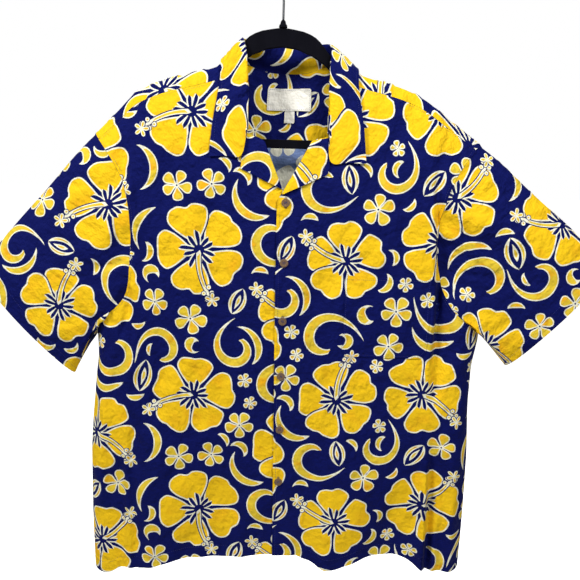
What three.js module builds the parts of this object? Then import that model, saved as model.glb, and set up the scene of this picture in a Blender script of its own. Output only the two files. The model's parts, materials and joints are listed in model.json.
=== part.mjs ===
import * as THREE from "three";

// Short sleeved camp shirt on a moulded hanger. Millimetres, +Z up, the shirt's front faces -Y
// and the wearer's left is +X. The origin is the inside top of the hook, where it hangs on a rod.

// cloth and seams
const cloth = 1.5; // wall of a panel
const seamGap = 0.35; // clear space between two pieces at a seam

// body, measured from the shirt's own centre front
const shirtOffset = 11; // the shirt hangs this far to the wearer's left of the hook
const flatHalf = 275; // flat half width before the side turns
const sideRadius = 35; // round of the side, and half the depth of the hanging body
const halfGirth = flatHalf + (sideRadius * Math.PI) / 2; // centre front to side seam round the cloth
const ridgeRound = 6; // quick swelling of the cloth beside the hanger's top edge
const ridgeRoundFall = 3;
const depthFall = 75; // slower swelling below it
const neckBulge = { out: 27, x: -6, z: -150, wide: 55, tall: 75, rise: 12 };
const hemHeight = -930;
const hemDroop = 12;
const waist = { draw: 0.02, low: -760, lowFade: 120, high: -540, highFade: 60 }; // sides drawn in below the arms
const hemSpread = { out: 0.01, top: -700, fade: 200 };
const bodyRows = [-575, -630, -690, -750, -810, -870]; // rows of the back below the armholes
const sideBelow = -530; // the side seam starts here

// hanger
const hangerThick = 5;
const archLower = { z: -121.7, bend: 0.0061 };
const barTop = -251;
const barBottom = -264;
const clothRest = 3.2; // outer face of the cloth above the hanger's top edge
const hookRadius = 20.6; // centre line
const wireRadius = 1.6;
const socketProfile = [
  { r: 0, z: -94.7 }, { r: 6.2, z: -94.7 }, { r: 5.6, z: -91.5 }, { r: 4.2, z: -90 },
  { r: 3.4, z: -86.5 }, { r: 1.9, z: -84.6 }, { r: 0, z: -84.6 },
];
const hookStem = { foot: -84.3, top: -58, bend: -50, joinAngle: 214, joinPull: 9 };
const hookTurns = [214, 186, 158, 130, 102, 74, 46, 18, -10]; // degrees round the hook, from the stem to its tip
const hangerShoulder = [
  { out: 0, z: -95 }, { out: 30, z: -99.9 }, { out: 48, z: -108 }, { out: 60, z: -120 },
  { out: 72, z: -136 }, { out: 80, z: -143.5 }, { out: 92, z: -150 }, { out: 107, z: -155 },
  { out: 127, z: -161 }, { out: 150, z: -166.5 }, { out: 173, z: -172.5 }, { out: 193, z: -180.5 },
  { out: 212, z: -190 },
];

const archStations = [0, 16, 30, 40, 48, 54, 60, 66];
const archUnder = [0, 22, 44, 60];
const hangerEnd = [
  { out: 221, z: -200 }, { out: 223, z: -212 }, { out: 219, z: -230 }, { out: 211, z: -248 },
  { out: 196, z: -261 }, { out: 184, z: barBottom },
];
const hangerOpening = [
  { out: 76, z: -158 }, { out: 92, z: -170 }, { out: 112, z: -176.5 }, { out: 140, z: -183 },
  { out: 170, z: -190 }, { out: 188, z: -198 }, { out: 198, z: -209 }, { out: 201, z: -222 },
  { out: 196, z: -238 }, { out: 184, z: -249 }, { out: 174, z: barTop },
];
const bevel = 1;

// where the shoulder ridge of the cloth stands off the foot of the arch, and its outer end
const bridge = [
  { x: -84, z: -131.3 }, { x: -94, z: -141.4 }, { x: 70, z: -132 }, { x: 84, z: -143 }, { x: 96, z: -150.8 },
];
const shoulderTip = { x: 286, z: -248 };
const columnsRight = [70, 84, 96, 118, 145, 172, 201, 228, 258, 286];
const columnsLeft = [-84, -94, -106, -124, -147, -172, -202, -223, -252, -286];
const columnsNeck = [-66, -46, -26, -9, 9, 26, 46, 60];
const neckRow = { z: -154 };
const yokeDrops = [0, 0.03, 0.08, 0.2, 0.46, 0.73, 1];
const yokeFrontDrops = [0, 0.03, 0.08, 0.2];
const yokeSeam = { x: 250, z: -252, droop: 48, straight: 150 };
const lining = { reach: 240, thick: 1, neckDrop: 0.04, drops: [0.08, 0.2, 0.46, 0.73, 1] };

// armhole, as distance round the cloth from the centre at each height
const armhole = [
  { z: -248, u: 286 }, { z: -300, u: 250 }, { z: -335, u: 236 }, { z: -370, u: 231 },
  { z: -400, u: 232 }, { z: -430, u: 236 }, { z: -465, u: 243 }, { z: -490, u: 254 },
  { z: -510, u: 272 }, { z: -524, u: 294 }, { z: -532, u: 312 }, { z: -536.5, u: halfGirth },
];
const armholeRows = [-300, -335, -370, -400, -430, -465, -490, -510, -524, -532, -536.5];

// each row of a front runs from its inner edge to its armhole or side
const lowerRows = [
  { inner: -375, outer: -510 }, { inner: -410, outer: -524 }, { inner: -448, outer: -532 },
  { inner: -488, outer: -536.5 }, { inner: -535, outer: -566 }, { inner: -592, outer: -612 },
  { inner: -652, outer: -667 }, { inner: -712, outer: -724 }, { inner: -772, outer: -781 },
  { inner: -832, outer: -838 }, { inner: -885, outer: -890 },
];
const frontLeftEdge = [
  { z: -158, x: 70 }, { z: -190, x: 66 }, { z: -220, x: 63 }, { z: -245, x: 61.4 },
  { z: -252, x: 37 }, { z: -288, x: 17 }, { z: -328, x: -6 }, { z: -342, x: -13 },
];
const frontRightEdge = [
  { z: -158, x: 78 }, { z: -180, x: 70 }, { z: -212, x: 63.5 }, { z: -242, x: 60 },
  { z: -253.5, x: 35 }, { z: -288, x: 21 }, { z: -324, x: 6 }, { z: -345, x: -14 },
];
const frontEdgeBottom = -7; // the top front's edge at the hem, measured as the rows above are
const underEdgeBottom = -14;
const frontFractions = [0, 0.06, 0.14, 0.26, 0.4, 0.55, 0.7, 0.82, 0.91, 1];
const overlapLift = { out: 3.2, near: 22, far: 62, top: -285, rise: 32 }; // the top front rides over the other

// largest folds: from one point to another, how far out, and how wide
const folds = [
  { face: -1, x0: 236, z0: -290, x1: 244, z1: -640, out: -7, wide: 24 },
  { face: -1, x0: -252, z0: -290, x1: -250, z1: -560, out: -6, wide: 22 },
  { face: -1, x0: 262, z0: -690, x1: 272, z1: -1180, out: -7, wide: 22 },
  { face: -1, x0: 96, z0: -640, x1: 106, z1: -1250, out: 10, wide: 48 },
  { face: -1, x0: 196, z0: -700, x1: 206, z1: -1200, out: -7, wide: 34 },
  { face: -1, x0: -205, z0: -640, x1: -192, z1: -1250, out: 9, wide: 44 },
  { face: -1, x0: -104, z0: -700, x1: -96, z1: -1200, out: -6, wide: 36 },
  { face: -1, x0: -262, z0: -680, x1: -274, z1: -1200, out: -6, wide: 24 },
  { face: 1, x0: -130, z0: -290, x1: -150, z1: -1250, out: 8, wide: 42 },
  { face: 1, x0: -40, z0: -420, x1: -56, z1: -1200, out: -6, wide: 34 },
  { face: 1, x0: 70, z0: -330, x1: 52, z1: -1250, out: 8, wide: 46 },
  { face: 1, x0: 168, z0: -420, x1: 176, z1: -1200, out: -7, wide: 36 },
  { face: 1, x0: 240, z0: -620, x1: 232, z1: -1250, out: 6, wide: 30 },
];

// sleeves: the hem's top and bottom corners, and half its depth
const sleeves = {
  left: { side: 1, top: [505, -4, -425], low: [357, -6, -591], bulge: 24 },
  right: { side: -1, top: [-478.5, -4, -459], low: [-332, -6, -624], bulge: 24 },
};
const sleeveRings = [0, 0.16, 0.38, 0.6, 0.8, 1];
const sleeveSwell = 5; // round of the sleeve between the armhole and its hem
const sleeveClear = 5; // how far its lower part stands off the side of the body
const sleeveLow = { from: 0.55, fade: 0.25, to: 0.94, toFade: 0.06, power: 0.6 }; // that part, round its half

// collar: the fold line, and the outer edge laid on the shirt; face is the side of the shirt below
const collarThick = 1.2;
const collarFold = 2.2; // radius of the rolled fold
const collarLift = 4.4; // outer face of the collar's edge above the shirt
const collarFall = { near: 0.36, far: 0.72, crown: 0.8 }; // stations of the fall, and how far it bows out
const collarFoot = { clear: 1.2, rise: 1.2, inset: 1.2, frontClear: 2.8, low: -236, below: 8 }; // its neck seam
const collarFootBack = { reach: 62, part: 0.93, sidePart: 0.985, inset: 2.1, rise: 1.4, drop: 0.004 };
const collarBack = { rollX: 0, rollY: 44, rollZ: -112, edgeX: 0, edgeZ: -166, face: 1 };
const collarRight = [
  { rollX: -26, rollY: 38, rollZ: -111.5, edgeX: -36, edgeZ: -167, face: 1 },
  { rollX: -47, rollY: 26, rollZ: -110.5, edgeX: -68, edgeZ: -167, face: 1 },
  { rollX: -60, rollY: 14, rollZ: -110, edgeX: -90, edgeZ: -161, face: 1 },
  { rollX: -66.5, rollY: 5, rollZ: -110.5, edgeX: -97, edgeZ: -150, face: 1 },
  { rollX: -67.5, rollY: 0, rollZ: -111, edgeX: -98, edgeZ: 0, face: 0 },
  { rollX: -66, rollY: -5, rollZ: -113, edgeX: -98.5, edgeZ: -151, face: -1 },
  { rollX: -61, rollY: -14, rollZ: -134, edgeX: -98.5, edgeZ: -168, face: -1 },
  { rollX: -57.5, rollY: -24, rollZ: -166, edgeX: -102, edgeZ: -192, face: -1 },
  { rollX: -56.8, rollY: -28, rollZ: -205, edgeX: -109, edgeZ: -234, face: -1 },
  { rollX: -56.3, rollY: -32, rollZ: -238, edgeX: -113.5, edgeZ: -279, face: -1 },
];
const collarLeft = [
  { rollX: 24, rollY: 38, rollZ: -111.5, edgeX: 36, edgeZ: -167, face: 1 },
  { rollX: 42, rollY: 26, rollZ: -111.5, edgeX: 68, edgeZ: -168, face: 1 },
  { rollX: 53, rollY: 14, rollZ: -113, edgeX: 90, edgeZ: -166, face: 1 },
  { rollX: 58, rollY: 5, rollZ: -116, edgeX: 98, edgeZ: -160, face: 1 },
  { rollX: 59.5, rollY: 0, rollZ: -117.5, edgeX: 99, edgeZ: 0, face: 0 },
  { rollX: 59.5, rollY: -5, rollZ: -121, edgeX: 99.5, edgeZ: -160, face: -1 },
  { rollX: 58, rollY: -14, rollZ: -138, edgeX: 100, edgeZ: -174, face: -1 },
  { rollX: 57, rollY: -24, rollZ: -168, edgeX: 103, edgeZ: -195, face: -1 },
  { rollX: 56.8, rollY: -28, rollZ: -208, edgeX: 110, edgeZ: -236, face: -1 },
  { rollX: 57.2, rollY: -32, rollZ: -242, edgeX: 115, edgeZ: -283, face: -1 },
];
const notchRight = { x: -66, z: -276 };
const notchLeft = { x: 63, z: -282 };

// lapels: corners in order from the collar round to the bottom of the V
const lapelLift = 0.9;
const lapels = {
  right: { side: -1, onTop: false, top: [58, -244], fold: [33.5, -254], low: [5, -323], point: [67.5, -295], notch: [66, -274] },
  left: { side: 1, onTop: true, top: [59, -248], fold: [35.5, -252.5], low: [-7, -331], point: [60, -300], notch: [62.5, -281] },
};

// pocket, label and buttons
const pocket = { x0: 93, x1: 224, z0: -440, z1: -575, lift: 1.5, thick: 1.1 };
const inFront = cloth + seamGap + lining.thick; // from the yoke's outer face to the lining's inner face
const label = { half: 34.5, top: -174, bottom: -207.4, thick: 0.6, lift: 1.6 };
const sizeTab = { x: 2, half: 8.5, top: -207.9, bottom: -226, thick: 0.5, lift: 1.6 };
const button = { radius: 6.4, thick: 2.2, x: 0, first: -342, last: -788, count: 6, holeRadius: 0.8, holeOut: 1.7, lift: 0.6 };

const materials = {
  print: new THREE.MeshStandardMaterial({ color: 0x17206a, roughness: 0.85, metalness: 0 }),
  labelCloth: new THREE.MeshStandardMaterial({ color: 0xe9e4d6, roughness: 0.8, metalness: 0 }),
  coconut: new THREE.MeshStandardMaterial({ color: 0x4f3522, roughness: 0.5, metalness: 0 }),
  flock: new THREE.MeshStandardMaterial({ color: 0x0c0d10, roughness: 0.95, metalness: 0 }),
  wire: new THREE.MeshStandardMaterial({ color: 0x5a5c60, roughness: 0.35, metalness: 1 }),
};

const mix = (a, b, t) => a + (b - a) * t;
const ease = (t) => {
  const s = Math.min(Math.max(t, 0), 1);
  return s * s * (3 - 2 * s);
};

// smooth curve through the rows of a table, held level past its ends
function readRows(rows, key, value, at) {
  const n = rows.length;
  if (at <= rows[0][key]) return rows[0][value];
  if (at >= rows[n - 1][key]) return rows[n - 1][value];
  let i = 0;
  while (rows[i + 1][key] < at) i++;
  const rise = (k) => (rows[k + 1][value] - rows[k][value]) / (rows[k + 1][key] - rows[k][key]);
  const slope = (k) => {
    const before = rise(Math.max(k - 1, 0));
    const after = rise(Math.min(k, n - 2));
    return before * after > 0 ? (2 * before * after) / (before + after) : 0;
  };
  const span = rows[i + 1][key] - rows[i][key];
  const t = (at - rows[i][key]) / span;
  return (
    (2 * t ** 3 - 3 * t ** 2 + 1) * rows[i][value] + (t ** 3 - 2 * t ** 2 + t) * span * slope(i) +
    (3 * t ** 2 - 2 * t ** 3) * rows[i + 1][value] + (t ** 3 - t ** 2) * span * slope(i + 1)
  );
}

const byHeight = (rows) => rows.map((row) => ({ ...row, z: -row.z }));
const readHeight = (rows, value, z) => readRows(byHeight(rows), "z", value, -z);

// the hanger's top edge, at a distance out from its middle
const hangerEdge = (out) => readRows(hangerShoulder, "out", "z", Math.abs(out));

// height of the shoulder ridge of the cloth at one column
function ridgeAt(x) {
  const out = x + shirtOffset;
  const end = hangerShoulder[hangerShoulder.length - 1];
  const bridged = bridge.find((row) => row.x === x);
  if (bridged) return bridged.z;
  if (Math.abs(out) <= end.out) return hangerEdge(out) + clothRest;
  const xEnd = Math.sign(x) * end.out - shirtOffset;
  const t = (Math.abs(x) - Math.abs(xEnd)) / (shoulderTip.x - Math.abs(xEnd));
  return mix(end.z + clothRest, shoulderTip.z, t);
}
const ridgeRows = [...columnsLeft].reverse().concat(columnsRight).map((x) => ({ x, z: ridgeAt(x) }));
const ridge = (x) => readRows(ridgeRows, "x", "z", x);

function foldDepth(face, x, z) {
  let total = 0;
  for (const f of folds) {
    if (f.face !== face) continue;
    const dx = f.x1 - f.x0;
    const dz = f.z1 - f.z0;
    const long = dx * dx + dz * dz;
    const t = ((x - f.x0) * dx + (z - f.z0) * dz) / long;
    const across = ((x - f.x0) * dz - (z - f.z0) * dx) / Math.sqrt(long);
    total += f.out * ease(t / 0.35) * ease((1 - t) / 0.3) * Math.exp(-((across / f.wide) ** 2));
  }
  return total;
}

function lift(x, z) {
  const down = ease((overlapLift.top - z) / overlapLift.rise);
  return overlapLift.out * down * ease((overlapLift.far - x) / (overlapLift.far - overlapLift.near));
}

// outer face of the hanging body; x is the distance round the cloth from the centre
function torso(face, x, z, top = false) {
  const below = Math.max(ridge(Math.max(Math.min(x, shoulderTip.x), -shoulderTip.x)) - z, 0);
  const swell = sideRadius - ridgeRound;
  let depth = swell * (1 - Math.exp(-below / depthFall)) + ridgeRound * (1 - Math.exp(-below / ridgeRoundFall));
  if (face > 0) {
    const b = neckBulge;
    depth += b.out * Math.exp(-(((x - b.x) / b.wide) ** 2) - ((z - b.z) / b.tall) ** 2) * Math.min(below / b.rise, 1);
  }
  depth += foldDepth(face, x, z);
  if (top) depth += lift(x, z);
  const turn = Math.max(Math.abs(x) - flatHalf, 0) / sideRadius;
  const out = Math.min(Math.abs(x), flatHalf) + sideRadius * Math.sin(turn);
  const drawn = waist.draw * ease((z - waist.low) / waist.lowFade) * ease((waist.high - z) / waist.highFade);
  const flare = 1 - drawn + hemSpread.out * ease((hemSpread.top - z) / hemSpread.fade);
  return new THREE.Vector3(Math.sign(x) * out * flare, face * depth * Math.cos(turn), z);
}

function torsoNormal(face, x, z, top = false) {
  const step = 0.5;
  const down = torso(face, x, z - step, top);
  const up = torso(face, x, Math.min(z + step, ridge(x) - 0.01), top);
  const across = torso(face, x + step, z, top).sub(torso(face, x - step, z, top));
  return across.cross(up.sub(down)).multiplyScalar(-face).normalize();
}

function ridgeNormal(x) {
  const z = ridge(x) - 0.6;
  return torsoNormal(-1, x, z).add(torsoNormal(1, x, z)).setY(0).normalize();
}

// an open surface of triangles, with the way each point faces
class Sheet {
  constructor() {
    this.points = [];
    this.facing = [];
    this.fixed = [];
    this.triangles = [];
    this.lookup = new Map();
  }

  vertex(point, facing, fixed = true) {
    const key = [point.x, point.y, point.z].map((v) => v.toFixed(3)).join();
    if (!this.lookup.has(key)) {
      this.lookup.set(key, this.points.length);
      this.points.push(point.clone());
      this.facing.push(facing.clone());
      this.fixed.push(fixed);
    }
    return this.lookup.get(key);
  }

  // rows of points joined by triangles, all turned the way that most of the points face
  grid(rows) {
    const found = [];
    const distance = (a, b) => this.points[a].distanceTo(this.points[b]);
    for (let j = 1; j < rows.length; j++) {
      for (let i = 1; i < rows[j].length; i++) {
        const [a, b, c, d] = [rows[j - 1][i - 1], rows[j - 1][i], rows[j][i], rows[j][i - 1]];
        if (distance(a, c) <= distance(b, d)) found.push([a, b, c], [a, c, d]);
        else found.push([a, b, d], [b, c, d]);
      }
    }
    const kept = found.filter(([a, b, c]) => a !== b && b !== c && c !== a);
    let outward = 0;
    for (const [a, b, c] of kept) {
      const [p, q, r] = [a, b, c].map((k) => this.points[k]);
      outward += q.clone().sub(p).cross(r.clone().sub(p)).dot(this.facing[b]);
    }
    this.triangles.push(...kept.map(([a, b, c]) => (outward > 0 ? [a, b, c] : [a, c, b])));
  }

  // directions in which the wall is thick: given ones, or the mean of the faces round a point
  normals() {
    const sums = this.points.map(() => new THREE.Vector3());
    for (const t of this.triangles) {
      const [p, q, r] = t.map((k) => this.points[k]);
      const normal = q.clone().sub(p).cross(r.clone().sub(p)).normalize();
      for (const k of t) sums[k].add(normal);
    }
    return sums.map((sum, k) => (this.fixed[k] ? this.facing[k].clone() : sum.normalize()));
  }
}

// closes a sheet into a wall: its points, the same points moved in, and a rim round every open edge
function wall(sheet, thick) {
  const n = sheet.points.length;
  const normals = sheet.normals();
  const inner = sheet.points.map((p, k) => p.clone().addScaledVector(normals[k], -thick));
  const positions = [...sheet.points, ...inner].flatMap((p) => [p.x, p.y, p.z]);
  const index = [];
  const edges = new Map();
  for (const [a, b, c] of sheet.triangles) {
    index.push(a, b, c, a + n, c + n, b + n);
    for (const [s, e] of [[a, b], [b, c], [c, a]]) edges.set(`${s},${e}`, [s, e]);
  }
  for (const [s, e] of edges.values()) {
    if (edges.has(`${e},${s}`)) continue;
    index.push(e, s, s + n, e, s + n, e + n);
  }
  const geometry = new THREE.BufferGeometry();
  geometry.setAttribute("position", new THREE.Float32BufferAttribute(positions, 3));
  geometry.setIndex(index);
  geometry.computeVertexNormals();
  return geometry;
}

function named(name, geometry, material) {
  const mesh = new THREE.Mesh(geometry, material);
  mesh.name = name;
  return mesh;
}

// yoke: flat place of the point in one column, at a fraction of the way from the ridge to the back seam
function yokePlace(x, drop) {
  const pull = Math.max((Math.abs(x) - yokeSeam.straight) / (shoulderTip.x - yokeSeam.straight), 0) ** 2;
  const seamX = x - Math.sign(x) * (shoulderTip.x - yokeSeam.x) * pull;
  const seamZ = yokeSeam.z - yokeSeam.droop * (seamX / yokeSeam.x) ** 2;
  const onNeck = x > columnsLeft[0] && x < columnsRight[0];
  const side = x < 0 ? columnsLeft[0] : columnsRight[0];
  const top = onNeck ? mix(neckRow.z, ridge(side), Math.abs(x / side) ** 3) : ridge(x);
  return { x: mix(x, seamX, drop), z: mix(top, seamZ, drop) };
}

function torsoVertex(sheet, face, x, z, out = 0, top = false) {
  const normal = torsoNormal(face, x, z, top);
  return sheet.vertex(torso(face, x, z, top).addScaledVector(normal, out), normal);
}

const allColumns = [...columnsLeft].reverse().concat(columnsNeck, columnsRight);

function buildYoke() {
  const sheet = new Sheet();
  const onRidge = (x) => x <= columnsLeft[0] || x >= columnsRight[0];
  const place = (face, x, drop) => {
    const at = yokePlace(x, drop);
    if (drop === 0 && onRidge(x)) return sheet.vertex(torso(face, at.x, at.z).setY(0), ridgeNormal(x));
    return torsoVertex(sheet, face, at.x, at.z);
  };
  sheet.grid(yokeDrops.map((drop) => allColumns.map((x) => place(1, x, drop))));
  for (const side of [columnsLeft, columnsRight]) {
    sheet.grid(yokeFrontDrops.map((drop) => side.map((x) => place(-1, x, drop))));
  }
  return named("yoke", wall(sheet, cloth), materials.print);
}

// lining of the yoke, seen through the neck
function buildYokeLining() {
  const sheet = new Sheet();
  const inset = -(cloth + seamGap);
  const columns = allColumns.filter((x) => Math.abs(x) < lining.reach);
  const rows = lining.drops.map((drop, j) =>
    columns.map((x) => {
      const inNeck = x > columnsLeft[0] && x < columnsRight[0];
      const at = yokePlace(x, j === 0 && inNeck ? lining.neckDrop : drop);
      return torsoVertex(sheet, 1, at.x, at.z, inset);
    }),
  );
  sheet.grid(rows);
  return named("yoke_lining", wall(sheet, lining.thick), materials.print);
}

// distance round the cloth of the armhole or side seam at a height
function outerEdge(z) {
  if (z <= armhole[armhole.length - 1].z) return halfGirth;
  return readHeight(armhole, "u", z);
}

function buildBack() {
  const sheet = new Sheet();
  const rows = [allColumns.map((x) => {
    const at = yokePlace(x, 1);
    return torsoVertex(sheet, 1, at.x, at.z - seamGap);
  })];
  const heights = [...armholeRows.slice(1), ...bodyRows, hemHeight];
  const settleRows = 6; // rows over which the curve of the yoke's seam dies away
  heights.forEach((zOuter, j) => {
    const reach = outerEdge(zOuter) - (zOuter < sideBelow ? seamGap / 2 : 0);
    const settle = Math.min((j + 1) / settleRows, 1);
    rows.push(allColumns.map((x) => {
      const across = x / shoulderTip.x;
      const sag = zOuter === hemHeight ? hemDroop * across ** 2 : 0;
      const rise = (1 - settle) * yokeSeam.droop * (1 - across ** 2);
      return torsoVertex(sheet, 1, across * reach, zOuter + rise - sag);
    }));
  });
  sheet.grid(rows);
  return named("back", wall(sheet, cloth), materials.print);
}

function buildFront(name, side, edge, bottom, top) {
  const sheet = new Sheet();
  const columns = side > 0 ? columnsRight : columnsLeft;
  const rows = [columns.map((x) => {
    const at = yokePlace(x, yokeFrontDrops[3]);
    return torsoVertex(sheet, -1, at.x, at.z - seamGap, 0, top);
  })];
  const upper = edge.slice(1).map((row, j) => ({ inner: row.z, outer: armholeRows[j] }));
  const hem = { inner: hemHeight, outer: hemHeight - hemDroop };
  const edges = [...edge, { z: hemHeight, x: bottom }];
  for (const row of [...upper, ...lowerRows, hem]) {
    const start = readHeight(edges, "x", row.inner);
    const reach = outerEdge(row.outer) - (row.outer < sideBelow ? seamGap / 2 : 0);
    rows.push(frontFractions.map((t) =>
      torsoVertex(sheet, -1, side * mix(start, reach, t), mix(row.inner, row.outer, t), 0, top)));
  }
  sheet.grid(rows);
  return named(name, wall(sheet, cloth), materials.print);
}

// points round the armhole from the shoulder's tip down the front, and down the back
function armholeRing(side) {
  const tip = { face: 0, at: yokePlace(side * shoulderTip.x, 0) };
  const along = (face, drops, heights) => [
    ...drops.map((drop) => ({ face, at: yokePlace(side * shoulderTip.x, drop) })),
    ...heights.map((z) => ({ face, at: { x: side * outerEdge(z), z } })),
  ];
  return {
    front: [tip, ...along(-1, yokeFrontDrops.slice(1), armholeRows)],
    back: [tip, ...along(1, yokeDrops.slice(1), armholeRows.slice(1))],
  };
}

function buildSleeve(name, spec) {
  const sheet = new Sheet();
  const top = new THREE.Vector3(...spec.top);
  const low = new THREE.Vector3(...spec.low);
  const halves = armholeRing(spec.side);
  for (const [half, face] of [["front", -1], ["back", 1]]) {
    const stations = halves[half];
    const starts = stations.map((s) => (s.face === 0
      ? torso(face, s.at.x, s.at.z).setY(0)
      : torso(s.face, s.at.x, s.at.z)));
    starts[starts.length - 1].setY(0);
    const lengths = [0];
    starts.slice(1).forEach((p, k) => lengths.push(lengths[k] + p.distanceTo(starts[k])));
    const total = lengths[lengths.length - 1];
    const grid = sleeveRings.map((t) => starts.map((start, k) => {
      const angle = (Math.PI * lengths[k]) / total;
      const hem = top.clone().lerp(low, (1 - Math.cos(angle)) / 2);
      hem.y += face * spec.bulge * Math.sin(angle);
      const away = hem.clone().sub(start).normalize();
      const point = start.clone().addScaledVector(away, seamGap).lerp(hem, t);
      const round = angle / Math.PI;
      const lowPart = ease((round - sleeveLow.from) / sleeveLow.fade);
      const nearLow = lowPart * (1 - ease((round - sleeveLow.to) / sleeveLow.toFade));
      point.y += face * Math.sin(Math.PI * t) * sleeveSwell * Math.sin(angle);
      point.y += face * nearLow * sleeveClear * Math.sin(Math.PI * Math.min(t * 2, 1) ** sleeveLow.power);
      if (t > 0) {
        const facing = new THREE.Vector3(0, face * Math.max(Math.sin(angle), 0.01), Math.cos(angle));
        return sheet.vertex(point, facing, false);
      }
      if (k === starts.length - 1) return sheet.vertex(point, new THREE.Vector3(spec.side, 0, 0));
      const { face: on, at } = stations[k];
      return sheet.vertex(point, on === 0 ? ridgeNormal(at.x) : torsoNormal(on, at.x, at.z));
    }));
    sheet.grid(grid);
  }
  return named(name, wall(sheet, cloth), materials.print);
}

// one rib of the collar, from its outer edge over the fold to the neck seam
function collarRib(row, before, after, notch) {
  const roll = new THREE.Vector3(row.rollX, row.rollY, row.rollZ);
  const edgeZ = row.face === 0 ? ridge(row.edgeX) : row.edgeZ;
  const edgeNormal = row.face === 0 ? ridgeNormal(row.edgeX) : torsoNormal(row.face, row.edgeX, edgeZ);
  const edgeBase = torso(row.face || 1, row.edgeX, edgeZ);
  if (row.face === 0) edgeBase.setY(0);
  const edge = edgeBase.addScaledVector(edgeNormal, collarLift);
  const run = new THREE.Vector3(after.rollX - before.rollX, after.rollY - before.rollY, after.rollZ - before.rollZ);
  const apex = roll.clone().sub(edge).normalize();
  const out = apex.clone().cross(run).normalize();
  const centre = roll.clone().addScaledVector(apex, -collarFold);
  const arc = (angle) => centre.clone()
    .addScaledVector(out, collarFold * Math.cos(angle)).addScaledVector(apex, collarFold * Math.sin(angle));
  const lapFoot = arc(0);
  const seam = neckSeam(row);
  const standTop = arc(Math.PI);
  const bowed = (t) => edge.clone().lerp(lapFoot, t).addScaledVector(out, collarFall.crown);
  const across = notch ? [edge.clone().lerp(notch, 0.5), notch] : [bowed(collarFall.near), bowed(collarFall.far)];
  const points = [edge, ...across, lapFoot, arc(Math.PI / 4), arc(Math.PI / 2), arc((3 * Math.PI) / 4), standTop,
    standTop.clone().lerp(seam, 0.5), seam];
  const hints = [out, out, out, out, out.clone().add(apex), apex, apex.clone().sub(out)];
  const inside = out.clone().negate();
  return { points, hints: [...hints, inside, inside, inside] };
}

// foot of the collar's stand, just inside the neck edge of the yoke or the front
function neckSeam(row) {
  const sign = Math.sign(row.rollX);
  const side = sign < 0 ? columnsLeft[0] : columnsRight[0];
  const foot = collarFoot;
  if (row.face === 0) return new THREE.Vector3(side - sign * foot.clear, 0, ridge(side) + foot.rise);
  if (row.face > 0) {
    const back = collarFootBack;
    const beside = Math.abs(row.rollY) < 8;
    const part = beside ? back.sidePart : Math.min(Math.abs(row.rollX) / back.reach, 1) * back.part;
    const place = yokePlace(side * part, back.drop);
    const inset = torsoNormal(1, place.x, place.z).multiplyScalar(-back.inset);
    return torso(1, place.x, place.z).add(inset).setZ(place.z + back.rise);
  }
  const edge = sign < 0 ? frontRightEdge : frontLeftEdge;
  const beside = row.rollY > -8;
  const top = ridge(side) - (beside ? 4.5 : 9);
  const z = beside ? top : Math.max(Math.min(row.rollZ - foot.below, top), foot.low);
  const x = sign * ((beside ? Math.abs(side) : readHeight(edge, "x", z)) - foot.frontClear);
  return torso(-1, x, z).addScaledVector(torsoNormal(-1, x, z), -foot.inset);
}

function buildCollar() {
  const rows = [...collarRight].reverse().concat([collarBack], collarLeft);
  const sheet = new Sheet();
  const ribs = rows.map((row, k) => {
    const before = rows[Math.max(k - 1, 0)];
    const after = rows[Math.min(k + 1, rows.length - 1)];
    const end = k === 0 ? notchRight : k === rows.length - 1 ? notchLeft : null;
    const notch = end && torso(-1, end.x, end.z).addScaledVector(torsoNormal(-1, end.x, end.z), collarLift);
    return collarRib(row, before, after, notch);
  });
  sheet.grid(ribs.map((rib) => rib.points.map((p, k) => sheet.vertex(p, rib.hints[k], false))));
  return named("collar", wall(sheet, collarThick), materials.print);
}

// turned-out lapel: rows from the collar seam down to the bottom of the V
function buildLapel(name, spec) {
  const sheet = new Sheet();
  const outer = [spec.notch, spec.point, spec.low];
  const inner = [spec.top, spec.fold, spec.low];
  const place = ([x, z]) => torsoVertex(sheet, -1, spec.side * x, z, lapelLift + cloth, spec.onTop);
  const between = (a, b, t) => [mix(a[0], b[0], t), mix(a[1], b[1], t)];
  const stations = [0, 0.5, 1, 1.25, 1.5, 1.75, 1.94];
  const at = (line, s) => (s <= 1 ? between(line[0], line[1], s) : between(line[1], line[2], s - 1));
  sheet.grid(stations.map((s) => [0, 0.33, 0.67, 1].map((t) => place(between(at(inner, s), at(outer, s), t)))));
  return named(name, wall(sheet, cloth), materials.print);
}

// flat piece laid on a panel, moved out from it
function buildPatch(name, face, box, out, thick, steps, material) {
  const sheet = new Sheet();
  const rows = [];
  for (let j = 0; j <= steps.down; j++) {
    const z = mix(box.z0, box.z1, j / steps.down);
    rows.push([...Array(steps.across + 1).keys()].map((i) => {
      const x = mix(box.x0, box.x1, i / steps.across);
      const normal = torsoNormal(face, x, z);
      return sheet.vertex(torso(face, x, z).addScaledVector(normal, out), normal.clone().multiplyScalar(Math.sign(out)));
    }));
  }
  sheet.grid(rows);
  return named(name, wall(sheet, thick), material);
}

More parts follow.
